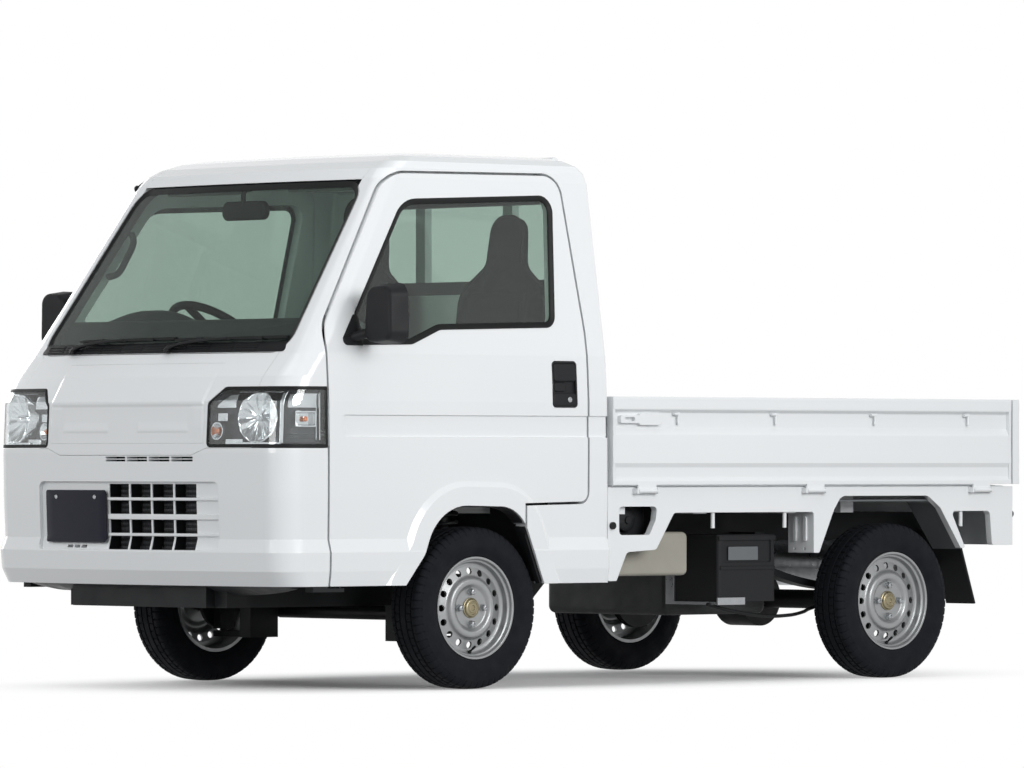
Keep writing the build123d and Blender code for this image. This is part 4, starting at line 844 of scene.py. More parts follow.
@dataclass(frozen=True)
class CabSkin:
    """The cab's outer skin, between the plan sections, as skins that pieces are laid on."""

    half: float = 0.7375
    front_x: float = 1.6975
    rear_x: float = 0.230
    bow: float = 4.448
    arc_length: float = 0.134
    side_end: float = 0.234
    side_end_x: float = 1.4485

    def _row(self, column: int, z: Array) -> Array:
        """A column of the plan sections at any height, by straight runs between them."""
        table = np.asarray(CAB_ROWS, float) * MM
        return np.interp(z, table[:, 0], table[:, column])

    def front(self, y: Array, z: Array, depth: Array) -> Array:
        """Nose and windscreen: a bow of large radius across the truck, set back by height."""
        bow = self.bow - depth
        x = self.front_x - self._row(2, z) - depth - bow + np.sqrt(bow**2 - y**2)
        return np.stack(np.broadcast_arrays(x, y, z), axis=-1)

    def side(self, x: Array, z: Array, depth: Array) -> Array:
        """Left side: as far out as the half width less the narrowing."""
        return np.stack(np.broadcast_arrays(x, self.half - self._row(1, z) - depth, z), axis=-1)

    def back(self, y: Array, z: Array, depth: Array) -> Array:
        """Rear wall: it steps forward by height."""
        return np.stack(np.broadcast_arrays(self.rear_x + self._row(4, z) + depth, y, z), axis=-1)

    def corner(self, along: Array, z: Array, depth: Array) -> Array:
        """Left front corner, by the length along it from where the nose's bow meets the corner's arc.

        Before zero it follows the bow, then the arc for arc_length, and then the side,
        which it leaves at the same place at every height.

        Args:
            along: length along the skin, negative on the nose.
            z: height.
            depth: how far below the skin.

        Returns:
            Points in space.
        """
        half = self.half - self._row(1, z) - depth
        bow = self.bow - depth
        radius = self._row(3, z) - depth / 2
        lean = np.arcsin((half - radius) / (bow - radius))
        bow_x = self.front_x - self._row(2, z) - depth - bow
        turn = lean + np.clip(along / self.arc_length, 0.0, 1.0) * (math.pi / 2 - lean)
        side_x = bow_x + (bow - radius) * np.cos(lean)
        past = np.maximum(along - self.arc_length, 0.0) / (self.side_end - self.arc_length)
        nose_y = bow * np.sin(lean) + along
        x = side_x + radius * np.cos(turn) + past * (self.side_end_x - side_x)
        x = np.where(along < 0, bow_x + np.sqrt(bow**2 - nose_y**2), x)
        y = np.where(along < 0, nose_y, half - radius + radius * np.sin(turn))
        return np.stack(np.broadcast_arrays(x, y, z), axis=-1)


CAB = CabSkin()


@dataclass
class Headlamps:
    """What shows behind each clear lens: main bowl, small lamp, side marker, bright strips and the gasket."""

    inner: float = -246.0
    outer: float = 233.0
    low: float = 779.0
    top: float = 968.0
    cut: Spot = (52.0, 54.0)
    bowl_at: Spot = (-36.0, 871.0)
    bowl_radius: float = 76.0
    park_at: Spot = (-207.0, 829.0)
    park_radius: float = 24.0
    marker: tuple[Spot, Spot] = ((104.0, 842.0), (192.0, 892.0))
    panel: tuple[Spot, Spot] = ((66.0, 789.0), (224.0, 957.0))
    rib_rows: tuple[float, ...] = (806.0, 818.0, 912.0, 926.0, 940.0)
    # Bright strips of the housing: two positions, width, height and depth
    blades: tuple[tuple[float, float, float, float, float], ...] = (
        (-222, 902, 92, 44, 20),
        (-236, 860, 70, 26, 22),
        (-170, 786, 74, 18, 18),
        (-120, 784, 176, 10, 10),
        (-128, 950, 176, 12, 12),
        (52, 790, 13, 168, 14),
        (78, 902, 136, 46, 22),
        (200, 800, 22, 150, 24),
    )

    def build(self) -> None:
        """Make the pieces of both lamps."""
        wide, tall = self.cut
        lens = rounded(
            [
                (self.inner, self.low, 15),
                (self.outer, self.low, 4),
                (self.outer, self.top, 4),
                (self.inner + wide, self.top, 16),
                (self.inner, self.top - tall, 16),
            ]
        )
        gasket = band(dense(lens), mm(-9, -8, 1.5, 2.5), mm(1.2, -0.7, -0.7, 1.2), CAB.corner)
        low, high = self.marker
        middle = ((low[0] + high[0]) / 2, (low[1] + high[1]) / 2)
        frame = dense(box_outline(low, high, 5))
        bulb = [(0, 11), (5, 12), (9, 17), (9, 32)]
        bright = [
            dish(CAB.corner, self.bowl_at, bowl(self.bowl_radius, 9, 36, 38), 120, flute=3.4),
            dish(CAB.corner, self.bowl_at, [(0, 13), (8, 14), (11, 18), (12, 36)]),
            dish(CAB.corner, self.park_at, bowl(self.park_radius, 10, 30, 38), flute=0.5),
            band(frame, mm(0, 0, -4, -6), mm(34, 11, 11, 30), CAB.corner),
            plate(grown(frame, -6 * MM), 28, 33, 1, CAB.corner),
        ]
        left, right = self.panel[0][0] + 4, self.panel[1][0] - 4
        ribs = [pad(CAB.corner, (left, z), (right, z + 3), 1, 27, 33, 0.5) for z in self.rib_rows]
        blades = [pad(CAB.corner, (a, z), (a + w, z + h), 1.5, d, d + 5, 1) for a, z, w, h, d in self.blades]
        amber = [dish(CAB.corner, at, bulb, 20) for at in (self.park_at, middle)]
        paired("lamp_gasket", [gasket], SEAL_RUBBER)
        paired("lamp_reflectors", bright, REFLECTOR)
        paired("lamp_side_panel", [pad(CAB.corner, *self.panel, 8, 31, 37, 2), *ribs], SMOKED_PLASTIC)
        paired("lamp_blades", blades, REFLECTOR)
        paired("lamp_bulbs", amber, AMBER_LENS)


@dataclass
class FrontTrim:
    """Nose fittings: blank plate on its holder, radiator core, cowl, pressed relief, undertray and wipers."""

    plate_low: Spot = (-413.0, 473.0)
    plate_high: Spot = (-85.0, 641.0)
    bolts: tuple[Spot, ...] = ((-354.0, 619.0), (-144.0, 619.0))
    core_x: float = 1623.0
    core_half: float = 330.0
    core_z: Spot = (366.0, 686.0)
    fin_pitch: float = 9.0
    core_step: float = 5.0
    cowl: tuple[Corner, ...] = ((-612, 1081, 8), (612, 1081, 8), (598, 1113, 12), (-598, 1113, 12))
    slot_size: Spot = (96.0, 5.0)
    slot_pitch: int = 108
    slot_rows: tuple[float, ...] = (1087.0, 1095.0, 1103.0)
    field_half: float = 386.0
    pressing_z: Spot = (790.0, 1046.0)
    crease_z: float = 915.0
    brow_rise: float = 3.6
    flank_rise: float = 2.4
    keel_rise: float = 2.0
    tray_half: float = 620.0
    tray_front: Spot = (1652.0, 341.0)
    tray_run: float = 130.0
    tray_drop: float = 36.0
    tray_wave: Spot = (155.0, 2.0)
    wiper_pivots: Spot = (85.0, -420.0)
    # Points of a wiper's arm: across from the pivot, height and depth
    wiper_arm: tuple[Corner, ...] = ((0, 1094, -14), (60, 1110, -19), (170, 1121, -20), (262, 1126, -15))
    blade: Spot = (18.0, 512.0)
    blade_z: Spot = (1122.0, 1127.0)
    clips: tuple[float, ...] = (120.0, 250.0, 390.0)
    clip_length: float = 26.0

    def build(self) -> None:
        """Make every fitting of the nose."""
        outline = dense(box_outline(self.plate_low, self.plate_high, 9))
        head = [(0, -2.5), (5, -2.2), (7, -0.5), (7.5, 1.5)]
        piece("number_plate_blank", [plate(outline, 1, 3.5, 1, CAB.front)], NAVY_ENAMEL)
        piece("number_plate_holder", [plate(grown(outline, -14 * MM), 3.5, 14.5, 2, CAB.front)], BLACK_PLASTIC)
        piece("number_plate_bolts", [dish(CAB.front, at, head, 18) for at in self.bolts], ZINC)
        self._core()
        self._cowl()
        self._pressing()
        self._undertray()
        for number, pivot in enumerate(self.wiper_pivots, 1):
            self._wiper(number, pivot)

    def _core(self) -> None:
        """Radiator core: fins as a zigzag across the truck, stepped back between its flat tubes."""
        y = np.arange(-self.core_half, self.core_half + 0.1, self.fin_pitch / 4) * MM
        z = np.arange(self.core_z[0], self.core_z[1] + 0.1, self.core_step) * MM
        fin = 2 * np.abs(((y / (self.fin_pitch * MM)) % 1.0) - 0.5)
        tube = (np.round(z / (self.core_step * MM)) % 3 == 0)[None, :]
        x = self.core_x * MM + np.where(tube, 4.0 * MM, 3.0 * MM * fin[:, None])
        front = np.stack(np.broadcast_arrays(x, y[:, None], z[None, :]), axis=-1)
        piece("radiator_core", slab(front, (-0.002, 0.0, 0.0)), FIN_METAL, smooth_deg=20.0)

    def _cowl(self) -> None:
        """Black panel at the foot of the windscreen, with slots for air along it."""
        wide, tall = self.slot_size
        slots = [
            pad(CAB.front, (y, z), (y + wide, z + tall), 2, -5, 0, 1.5)
            for y in range(-580, 500, self.slot_pitch)
            for z in self.slot_rows
        ]
        panel = plate(dense(rounded(self.cowl)), -3, 5.5, 2.5, CAB.front)
        piece("cowl", [panel, *slots], BLACK_PLASTIC)

    def _pressing(self) -> None:
        """Pressed relief of the nose panel, laid on its skin.

        The skin comes forward towards a crease at crease_z, drops back below it, and comes
        forward again beside a shallow middle field. Every step is a smooth blend, and the
        relief fades to nothing at the border.
        """
        half, (low, high), crease = self.field_half, self.pressing_z, self.crease_z
        y, z = np.meshgrid(np.linspace(-half, half, 201), np.linspace(low, high, 150), indexing="ij")
        out = np.abs(y)
        brow = blend(z, high, crease + 4) * blend(z, crease - 9, crease + 2)
        flank = blend(out, half - 75, half - 40) * blend(z, crease, crease - 16) * blend(z, low, low + 60)
        keel = blend(z, crease - 92, crease - 84) * blend(z, crease - 52, crease - 84)
        keel = keel * blend(out, 70, 82) * blend(out, 322, 300)
        border = blend(out, half, half - 12) * blend(z, low, low + 8)
        rise = 0.15 + (self.brow_rise * brow + self.flank_rise * flank + self.keel_rise * keel) * border
        front = CAB.front(y * MM, z * MM, -rise * MM)
        piece("nose_pressing", slab(front, (-0.001, 0.0, 0.0)), BODY_PAINT, smooth_deg=60.0)

    def _undertray(self) -> None:
        """Black tray below the bumper: it slopes back and down, with turned-up ends and stiffening waves."""
        half, run, drop, (x0, z0), (pitch, wave) = (
            np.array(v) * MM for v in (self.tray_half, self.tray_run, self.tray_drop, self.tray_front, self.tray_wave)
        )
        y, s = np.meshgrid(np.linspace(-half, half, 125), np.linspace(0.0, 1.0, 13), indexing="ij")
        x = x0 - (CAB.bow - np.sqrt(CAB.bow**2 - y**2)) - run * s
        z = z0 - drop * np.sin(math.pi / 2 * s) * (1 - (np.abs(y) / (half + 0.04)) ** 6)
        z = z + wave * np.clip(3 * np.cos(math.tau * y / pitch), -1, 1) * np.sin(math.pi * s)
        piece("undertray", slab(np.stack([x, y, z], axis=-1), (-0.001, 0.0, 0.003)), BLACK_PLASTIC)

    def _wiper(self, number: int, pivot: float) -> None:
        """Wiper at rest: pivot cap, bent arm, and a blade with its rubber on the glass.

        Args:
            number: first or second wiper.
            pivot: the pivot's place across the truck.
        """
        flat_bar = rows_mm(2, 6, -3, 6, 2, 4, 3, -4, 3, -6, 2, -6, -3)
        spine = rows_mm(2, 5, -3, 5, 3, -5, 3, -5, -3)
        thin = rows_mm(2, 1.5, -5, 3, 5, -3, 5, -1.5, -5)
        arm = spline(np.array([CAB.front(*mm(pivot + y, z, d)) for y, z, d in self.wiper_arm]))
        share = np.linspace(0.0, 1.0, 40)
        y = pivot + self.blade[0] + (self.blade[1] - self.blade[0]) * share
        lift = self.blade_z[0] + (self.blade_z[1] - self.blade_z[0]) * share
        back = CAB.front(y * MM, lift * MM, (-9 - 4 * np.sin(math.pi * share)) * MM)
        lip = CAB.front(y * MM, lift * MM, np.full_like(y, 1.0) * MM)
        clips = [np.linspace(pivot + at, pivot + at + self.clip_length, 5) * MM for at in self.clips]
        level, depth = mm(*[sum(self.blade_z) / 2] * 5), mm(*[-12] * 5)
        parts = [
            dish(CAB.front, (pivot, self.wiper_arm[0][1]), [(0, -21), (8, -20), (13, -15), (14, -2)], 24),
            sweep(arm, flat_bar * 1.3, UP),
            sweep(back, spine, UP),
            *[sweep(CAB.front(across, level, depth), spine * 1.5, UP) for across in clips],
        ]
        piece(f"wiper_{number}", parts, BLACK_PLASTIC)
        piece(f"wiper_rubber_{number}", [sweep(lip, thin, UP)], SEAL_RUBBER)


@dataclass
class Windows:
    """Seals round the glass, the black border of the windscreen and the patch ahead of each door window."""

    screen: tuple[Corner, ...] = ((620, 1080, 60), (558, 1628, 70), (-558, 1628, 70), (-620, 1080, 60))
    back: tuple[Corner, ...] = ((-530, 1309, 50), (-510, 1600, 50), (510, 1600, 50), (530, 1309, 50))
    door: tuple[Corner, ...] = (
        (1292.5, 1104, 15),
        (1310.5, 1203, 15),
        (1057.5, 1571, 110),
        (406, 1598, 50),
        (454, 1169, 40),
        (954, 1156, 60),
        (1079, 1108, 60),
    )
    sail: tuple[Corner, ...] = ((1286, 1100, 4), (1381, 1101, 18), (1369, 1126, 26), (1313, 1208, 6))

    def build(self) -> None:
        """Make every seal and border."""
        screen, back, door, sail = (dense(rounded(v)) for v in (self.screen, self.back, self.door, self.sail))
        border = band(screen, mm(-17, -17, 0, 3, 3, 0), mm(5.9, 5.4, 1, -0.8, 0.6, 5.9), CAB.front)
        piece("windscreen_seal", [border], SEAL_RUBBER)
        border = band(back, mm(20, 18, 4, -3, -3, 0), mm(5.8, 2, -2, -2, 0.5, 5.8), CAB.back)
        piece("back_window_seal", [border], SEAL_RUBBER)
        seal = band(door, mm(-17, -15, -3, 2, 2, 0), mm(5.8, 3, -1.5, -1.5, 0.4, 5.8), CAB.side)
        paired("window_seal", [seal], SEAL_RUBBER, "door_{}")
        paired("window_patch", [plate(sail, -2.5, 1, 2, CAB.side)], BLACK_PLASTIC, "door_{}")


@dataclass
class Doors:
    """Door fittings: outer handle, mirror glass, inner trim with armrest, pull and crank."""

    handle_low: Spot = (372.5, 907.5)
    handle_high: Spot = (482.0, 1058.5)
    mirror_x: float = 1252.5
    mirror: tuple[Corner, ...] = ((748, 1111, 34), (882, 1116, 34), (879, 1293, 38), (759, 1287, 38))
    panel: tuple[Corner, ...] = (
        (640, 640, 40),
        (1010, 640, 60),
        (1240, 760, 80),
        (1240, 1070, 40),
        (470, 1080, 40),
        (470, 720, 60),
    )
    armrest_x: Spot = (640.0, 940.0)
    armrest_z: float = 870.0
    # Points of the window crank: along the truck, height and depth
    crank: tuple[Corner, ...] = ((990, 800, 64), (960, 815, 70), (920, 836, 72))

    def build(self) -> None:
        """Make the fittings of both doors."""
        (x0, z0), (x1, z1) = self.handle_low, self.handle_high
        frame = dense(box_outline(self.handle_low, self.handle_high, 13))
        handle = [
            band(frame, mm(-0.5, -1, -3, -7, -7), mm(8.6, -1.5, -2.5, -1.5, 8.6), CAB.side),
            plate(grown(frame, -6 * MM), 6.5, 8.8, 1, CAB.side),
            pad(CAB.side, (x0 + 8, z0 + 86), (x1 - 8, z1 - 8), 7, -3, 6, 2.5),
            pad(CAB.side, (x0 + 7, z0 + 7), (x1 - 7, z0 + 46), 7, -1, 6.5, 2),
            pad(CAB.side, (x0 + 48, z0 + 52), (x1 - 12, z0 + 82), 8, 2, 6.5, 3),
        ]
        lock = dish(CAB.side, (x0 + 34, z0 + 26), [(0, -1.5), (3, -1.5), (3.5, -2.6), (8.5, -2.2), (9.5, 0)], 28)
        rear = flat(mm(self.mirror_x, 0, 0), LEFT, UP)
        paired("door_handle", handle, BLACK_PLASTIC, "door_{}")
        paired("door_lock", [lock], ZINC, "door_{}")
        paired("mirror_glass", [plate(dense(rounded(self.mirror)), 0.2, 1.6, 0.5, rear)], MIRROR_GLASS, "door_{}")
        paired("door_trim", self._trim(), TRIM_PLASTIC, "door_{}")

    def _trim(self) -> list[Patch]:
        """Trim panel on the left door's inner face, with armrest, pull and window crank."""
        x = np.linspace(*mm(*self.armrest_x), 24)
        rest = CAB.side(x, self.armrest_z * MM + 0.02 * (x - x[0]), mm(*[70] * 24))
        cushion = rows_mm(2, 26, -14, 26, 10, 18, 18, -18, 18, -26, 10, -26, -14)
        crank = np.array([CAB.side(*mm(*at)) for at in self.crank])
        return [
            plate(dense(rounded(self.panel)), 45.4, 52, 3, CAB.side),
            sweep(rest, cushion, UP),
            dish(CAB.side, self.crank[0][:2], [(0, 68), (16, 66), (18, 50)], 24),
            rod(crank, 7, 10, (0.0, 1.0, 0.3)),
            dish(CAB.side, self.crank[-1][:2], [(0, 96), (11, 94), (12, 74), (10, 70)], 20),
            pad(CAB.side, (1050, 930), (1150, 985), 10, 50, 58, 3),
        ]


@dataclass
class Wheel:
    """One wheel: tyre with its tread, nuts, hub cap and valve."""

    end: str
    side: Side
    x: float
    y: float = 648.0
    z: float = 262.0
    tread_radius: float = 261.5
    steps: int = 480
    nut_ring: float = 52.0
    face: float = 36.0
    # Radius and height of the hub cap's rings, in turn
    cap: tuple[float, ...] = (
        *(33, 0, 33, 3, 30, 4.5, 29, 9, 26.5, 11.5, 22, 12),
        *(20.5, 10, 17, 10, 15.5, 12, 9, 12.4, 8, 10, 0, 10),
    )
    # Points of the sidewall from the bead up: offset and radius
    wall: tuple[Spot, ...] = (
        *((57, 165.5), (61, 168), (64, 176), (70.5, 192), (72.6, 208)),
        *((71, 228), (67.5, 243), (62.5, 253), (55.5, 259)),
    )
    crown: tuple[float, ...] = (52, 44, 41.5, 40, 36, 34.5, 28, 20, 17.5, 16, 12, 10.5, 5, 0.0)
    grooves: Spot = (38.0, 14.0)
    groove_depth: float = 6.5
    shoulder_depth: float = 4.5
    rib_depth: float = 4.0

    def build(self) -> None:
        """Make the wheel's pieces."""
        body = f"wheel_{self.end}_{self.side.word}"
        tag = f"{self.end}_{self.side.word}"
        centre = mm(self.x, self.y, self.z)
        outward = np.array(LEFT)
        sign = self.side.sign
        tyre = piece(f"tyre_tread_{tag}", mirrored([self._tyre(centre)], sign), TYRE_RUBBER, body, 32.0)
        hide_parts(f"tyre_{tag}")
        face = centre + outward * self.face * MM
        nuts = [self._nut(face, turn) for turn in np.radians((0, 90, 180, 270))]
        piece(f"wheel_nuts_{tag}", mirrored(nuts, sign), ZINC, body, 30.0)
        cap = rows_mm(2, *self.cap)
        piece(f"hub_cap_{tag}", mirrored([lathe(cap, face, outward, 40)], sign), GOLD_ZINC, body)
        root = centre + mm(0, 30, -143)
        stem = rows_mm(2, 5.5, 0, 5.5, 6, 3.2, 8, 3.2, 20, 4.2, 21, 4.2, 33, 3, 35, 0, 35)
        piece(f"valve_{tag}", mirrored([lathe(stem, root, (0.0, 0.82, 0.57), 14)], sign), SEAL_RUBBER, body)

    def _nut(self, face: Array, turn: float) -> Patch:
        """Wheel nut: a six-sided cone seat, flats and a rounded end about its own axis."""
        at = face + self.nut_ring * MM * np.array([math.cos(turn), 0.0, math.sin(turn)])
        rows = rows_mm(2, 12.5, -1, 12.5, 2, 10.8, 4, 10.8, 15, 8.5, 17.5, 5, 18.5, 5, 16, 0, 16)
        return lathe(rows, at, LEFT, 6)

    def _tyre(self, centre: Array) -> Patch:
        """Tyre: a section carried round the axle, cut by grooves.

        The section is a smooth line from bead to bead. Round grooves lower it where its
        offset lies near one of four places; cross cuts lower the shoulders at every eighth
        step and the middle ribs half-way between.

        Args:
            centre: the wheel's middle.

        Returns:
            A patch closed both ways.
        """
        half = spline(self.wall, 30)
        crown = np.array(self.crown)
        dome = np.stack([crown, self.tread_radius - 2.2 * (crown / 55) ** 2], axis=1)
        outer = np.concatenate([half, dome])
        section = np.concatenate([outer, (outer * (-1, 1))[-2::-1]])
        section = np.concatenate([section, [(-50, 164.0), (0, 163.0), (50, 164.0)]])
        offset, radius = section.T
        place = np.abs(offset)
        tread = radius > 240
        ring = tread & (np.abs(place[:, None] - self.grooves) < 3).any(axis=1)
        step = np.arange(self.steps)
        shoulder = (step % 8 == 0)[:, None] & (tread & (place > 41.8))[None, :]
        rib = (step % 8 == 4)[:, None] & (tread & (place > 17) & (place < 35))[None, :]
        bead = 0.9 * bell(radius - 236, 1.5) - 0.9 * bell(radius - 196, 1.5)
        depth = self.groove_depth * ring[None, :] + self.shoulder_depth * shoulder + self.rib_depth * rib
        turn = step * math.tau / self.steps
        reach = (radius[None, :] - depth) * MM
        y = np.broadcast_to((offset + np.sign(offset) * bead * (radius < 240)) * MM, reach.shape)
        points = np.stack([reach * np.cos(turn)[:, None], y, reach * np.sin(turn)[:, None]], axis=-1)
        return Patch(centre + points, wrap_u=True, wrap_v=True)


def strip(outline: Array, keep: Array, offsets: Array, depths: Array, skin: Skin) -> Patch:
    """Closed profile carried along a part of an outline on a skin, with its ends capped.

    Args:
        outline: the whole closed outline.
        keep: numbers of the outline's points to follow, in order.
        offsets: how far each profile point stands outside the outline.
        depths: how far each profile point lies below the skin.
        skin: turns two positions and a depth into a point in space.

    Returns:
        A patch whose columns are the profile points.
    """
    rings = np.stack([grown(outline, o)[keep] for o in offsets], axis=1)
    depth = np.broadcast_to(np.asarray(depths, float)[None, :], rings.shape[:2])
    return Patch(skin(rings[..., 0], rings[..., 1], depth), wrap_v=True, cap=True)


@dataclass
class Arches:
    """Black lining on the inner edge of the front wheel arches, part of it on the door."""

    outline: tuple[Corner, ...] = (
        (1149, 278, 0),
        (1126, 338, 40),
        (1044, 437, 120),
        (985, 594, 175),
        (632, 586, 130),
        (504, 278, 0),
    )
    low: float = 344.0
    split_x: float = 612.0
    split_gap: float = 8.0

    def build(self) -> None:
        """Make the lining of both sides."""
        arch = dense(rounded(self.outline), 0.008)
        side = flat((0, CAB.half, 0), BACK, UP)
        skin: Skin = lambda x, z, depth: side(-x, z, depth)
        inside = arch[:, 1] > self.low * MM
        ahead = np.flatnonzero(inside & (arch[:, 0] > (self.split_x + self.split_gap / 2) * MM))
        behind = np.flatnonzero(inside & (arch[:, 0] < (self.split_x - self.split_gap / 2) * MM))
        offsets, depths = mm(-0.3, -2.5, -4.0, -4.0, -0.3), mm(9, 8, 10, 57, 57)
        for part, keep, body in (("front", ahead, "door_{}"), ("rear", behind, "chassis")):
            paired(f"arch_lining_{part}", [strip(arch, keep, offsets, depths, skin)], BLACK_PLASTIC, body)


@dataclass
class Grille:
    """Dark sleeves in the bumper's openings, and painted bars across them that run on past their end."""

    columns: tuple[float, ...] = (-81.0, 26.0, 133.0, 240.0)
    rows: tuple[float, ...] = (451.0, 504.0, 565.0, 618.0)
    size: Spot = (99.0, 43.0)
    bars: tuple[Spot, ...] = ((494.0, 504.0), (547.0, 565.0), (608.0, 618.0))
    bar_ends: Spot = (-84.0, 446.0)

    def build(self) -> None:
        """Make sleeves and bars."""
        wide, tall = self.size
        offsets, depths = mm(-0.2, -0.2, -1.2, -1.2), mm(17, 58, 58, 17)
        sleeves = [
            band(box_outline((y, z), (y + wide, z + tall), 1.0), offsets, depths, CAB.front)
            for y in self.columns
            for z in self.rows
        ]
        piece("grille_sleeves", sleeves, BLACK_PLASTIC, smooth_deg=20.0)
        left, right = self.bar_ends
        bars = [pad(CAB.front, (left, low), (right, high), 3, 6, 15, 3) for low, high in self.bars]
        piece("grille_bars", bars, BODY_PAINT)


@dataclass
class Seats:
    """Two seats: padded cushions and backs, swollen as cloth, with sewn channels and piping.

    Each kind is swollen once for the left seat and mirrored to the right.
    """

    cushion_x: Spot = (382.0, 872.0)
    seat_y: Spot = (95.0, 595.0)
    cushion_z: Spot = (664.0, 810.0)
    back_foot: Corner = (435.0, 345.0, 815.5)
    back_lean: float = 6.0
    back_rows: tuple[Corner, ...] = ((240, 0, 55), (226, 480, 90), (104, 566, 45), (90, 748, 60))
    back_thick: float = 70.0
    start_less: float = 14.0
    voxel: float = 8.0
    pressure: float = 4.0
    cap: float = 22.0
    frames: int = 20
    channel_wide: float = 8.0
    cushion_channel: float = 10.0
    cushion_seams: Corner = (460.0, 800.0, 150.0)
    cushion_crown: float = 740.0
    back_channel: float = 9.0
    back_seams: Spot = (475.0, 138.0)
    floor_band: float = 14.0
    piping: float = 4.0
    # How far the welts lie inside the outline and below the face, on the back and the cushion
    back_welt: Spot = (17.0, 26.0)
    cushion_welt: Spot = (5.0, 48.0)
    hinge_low: Spot = (-470.0, 690.0)
    hinge_high: Spot = (-395.0, 860.0)
    hinge_y: Spot = (606.0, 98.0)

    def build(self) -> None:
        """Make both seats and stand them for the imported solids."""
        skin = self._back_skin()
        for kind, form, floor, channels, node in (
            ("cushion", self._cushion_form(), self._cushion_floor, self._cushion_channels, "seat_cushions"),
            ("back", self._back_form(skin), self._back_floor, self._back_channels, "seat_backs"),
        ):
            points, faces = self._swollen(kind, form, floor)
            points = channels(points)
            for side in SIDES:
                self._show(kind, side, points, faces, node)
        self._piping(skin)

    def _back_skin(self) -> Skin:
        """Front plane of the left back: across, up along the lean, and depth to the rear."""
        return flat(mm(*self.back_foot), LEFT, self._back_ways()[0])

    def _back_ways(self) -> tuple[Array, Array]:
        """Directions up along the back and out of its front."""
        lean = math.radians(self.back_lean)
        rise, run = math.cos(lean), math.sin(lean)
        return np.array([-run, 0.0, rise]), np.array([rise, 0.0, run])

    def _cushion_outline(self, less: float) -> Array:
        """Rounded rectangle of the cushion from above, smaller by an amount in millimetres."""
        (x0, x1), (y0, y1) = self.cushion_x, self.seat_y
        return dense(box_outline((x0 + less, y0 + less), (x1 - less, y1 - less), 70), 0.02)

    def _back_outline(self, less: float) -> Array:
        """Outline of the back in its plane, smaller by an amount in millimetres."""
        rows = [(w - less, h + (less if h == 0 else -less if h > 700 else 0), r) for w, h, r in self.back_rows]
        return dense(rounded(rows + [(-w, h, r) for w, h, r in rows[::-1]]), 0.02)

    def _cushion_form(self) -> Patch:
        """Slab with round edges, a little smaller than the cushion; it slopes down to the rear."""
        low, high = self.cushion_z
        top = flat(mm(0, 0, high), AHEAD, LEFT)
        return plate(self._cushion_outline(self.start_less), 16, high - low, 42, top)

    def _back_form(self, skin: Skin) -> Patch:
        """Slab with round edges in the back's plane, a little smaller than the back."""
        return plate(self._back_outline(self.start_less), 10, self.back_thick - 8, 22, skin)

    def _cushion_floor(self, points: Array) -> Array:
        """Which points rest on the seat deck and stay put."""
        return points[:, 2] < (self.cushion_z[0] + self.floor_band) * MM

    def _back_floor(self, points: Array) -> Array:
        """Which points belong to the back's hard rear shell and stay put."""
        return self._back_depth(points) > (self.back_thick - self.floor_band) * MM

    def _back_depth(self, points: Array) -> Array:
        """How far points lie behind the back's front plane."""
        return (points - mm(*self.back_foot)) @ -self._back_ways()[1]

    def _swollen(self, kind: str, form: Patch, floor: Callable[[Array], Array]) -> tuple[Array, list]:
        """Swell a form with Cloth under pressure, with its floor pinned and its travel capped.

        Args:
            kind: name of the form.
            form: the slightly small closed form.
            floor: which points stay put.

        Returns:
            The swollen points and the faces.
        """
        mesh = bpy.data.meshes.new(f"{kind}_form")
        mesh.from_pydata(form.points.reshape(-1, 3).tolist(), [], form.faces(0))
        close_up(mesh)
        made = bpy.data.objects.new(f"{kind}_form", mesh)
        scene = bpy.context.scene
        scene.collection.objects.link(made)
        remesh = made.modifiers.new("voxels", "REMESH")
        remesh.mode = "VOXEL"
        remesh.voxel_size = self.voxel * MM
        made.data = bpy.data.meshes.new_from_object(made.evaluated_get(bpy.context.evaluated_depsgraph_get()))
        made.modifiers.clear()
        start = self._points(made.data)
        moved = start
        pins = made.vertex_groups.new(name="floor")
        pins.add(np.flatnonzero(floor(start)).tolist(), 1.0, "REPLACE")
        cloth = made.modifiers.new("swelling", "CLOTH")
        cloth.settings.vertex_group_mass = "floor"
        cloth.settings.use_pressure = True
        cloth.settings.uniform_pressure_force = self.pressure
        cloth.settings.effector_weights.gravity = 0.0
        cloth.point_cache.frame_start, cloth.point_cache.frame_end = 1, self.frames
        for frame in range(1, self.frames + 1):
            scene.frame_set(frame)
        graph = bpy.context.evaluated_depsgraph_get()
        moved = self._points(made.evaluated_get(graph).to_mesh())
        made.evaluated_get(graph).to_mesh_clear()
        scene.frame_set(1)
        way = moved - start
        length = np.linalg.norm(way, axis=1, keepdims=True)
        moved = start + way * np.minimum(1.0, self.cap * MM / np.maximum(length, TINY))
        made.modifiers.clear()
        made.data.vertices.foreach_set("co", moved.ravel())
        finer = made.modifiers.new("finer", "SUBSURF")
        finer.levels = finer.render_levels = 1
        fine = bpy.data.meshes.new_from_object(made.evaluated_get(bpy.context.evaluated_depsgraph_get()))
        faces = [tuple(p.vertices) for p in fine.polygons]
        points = self._points(fine)
        bpy.data.objects.remove(made)
        LOG.info("%s swollen by up to %.0f mm", kind, 1000 * float(length.max()))
        return points, faces

    def _points(self, mesh: bpy.types.Mesh) -> Array:
        """A mesh's points as an array."""
        flat_list = np.empty(3 * len(mesh.vertices))
        mesh.vertices.foreach_get("co", flat_list)
        return flat_list.reshape(-1, 3)

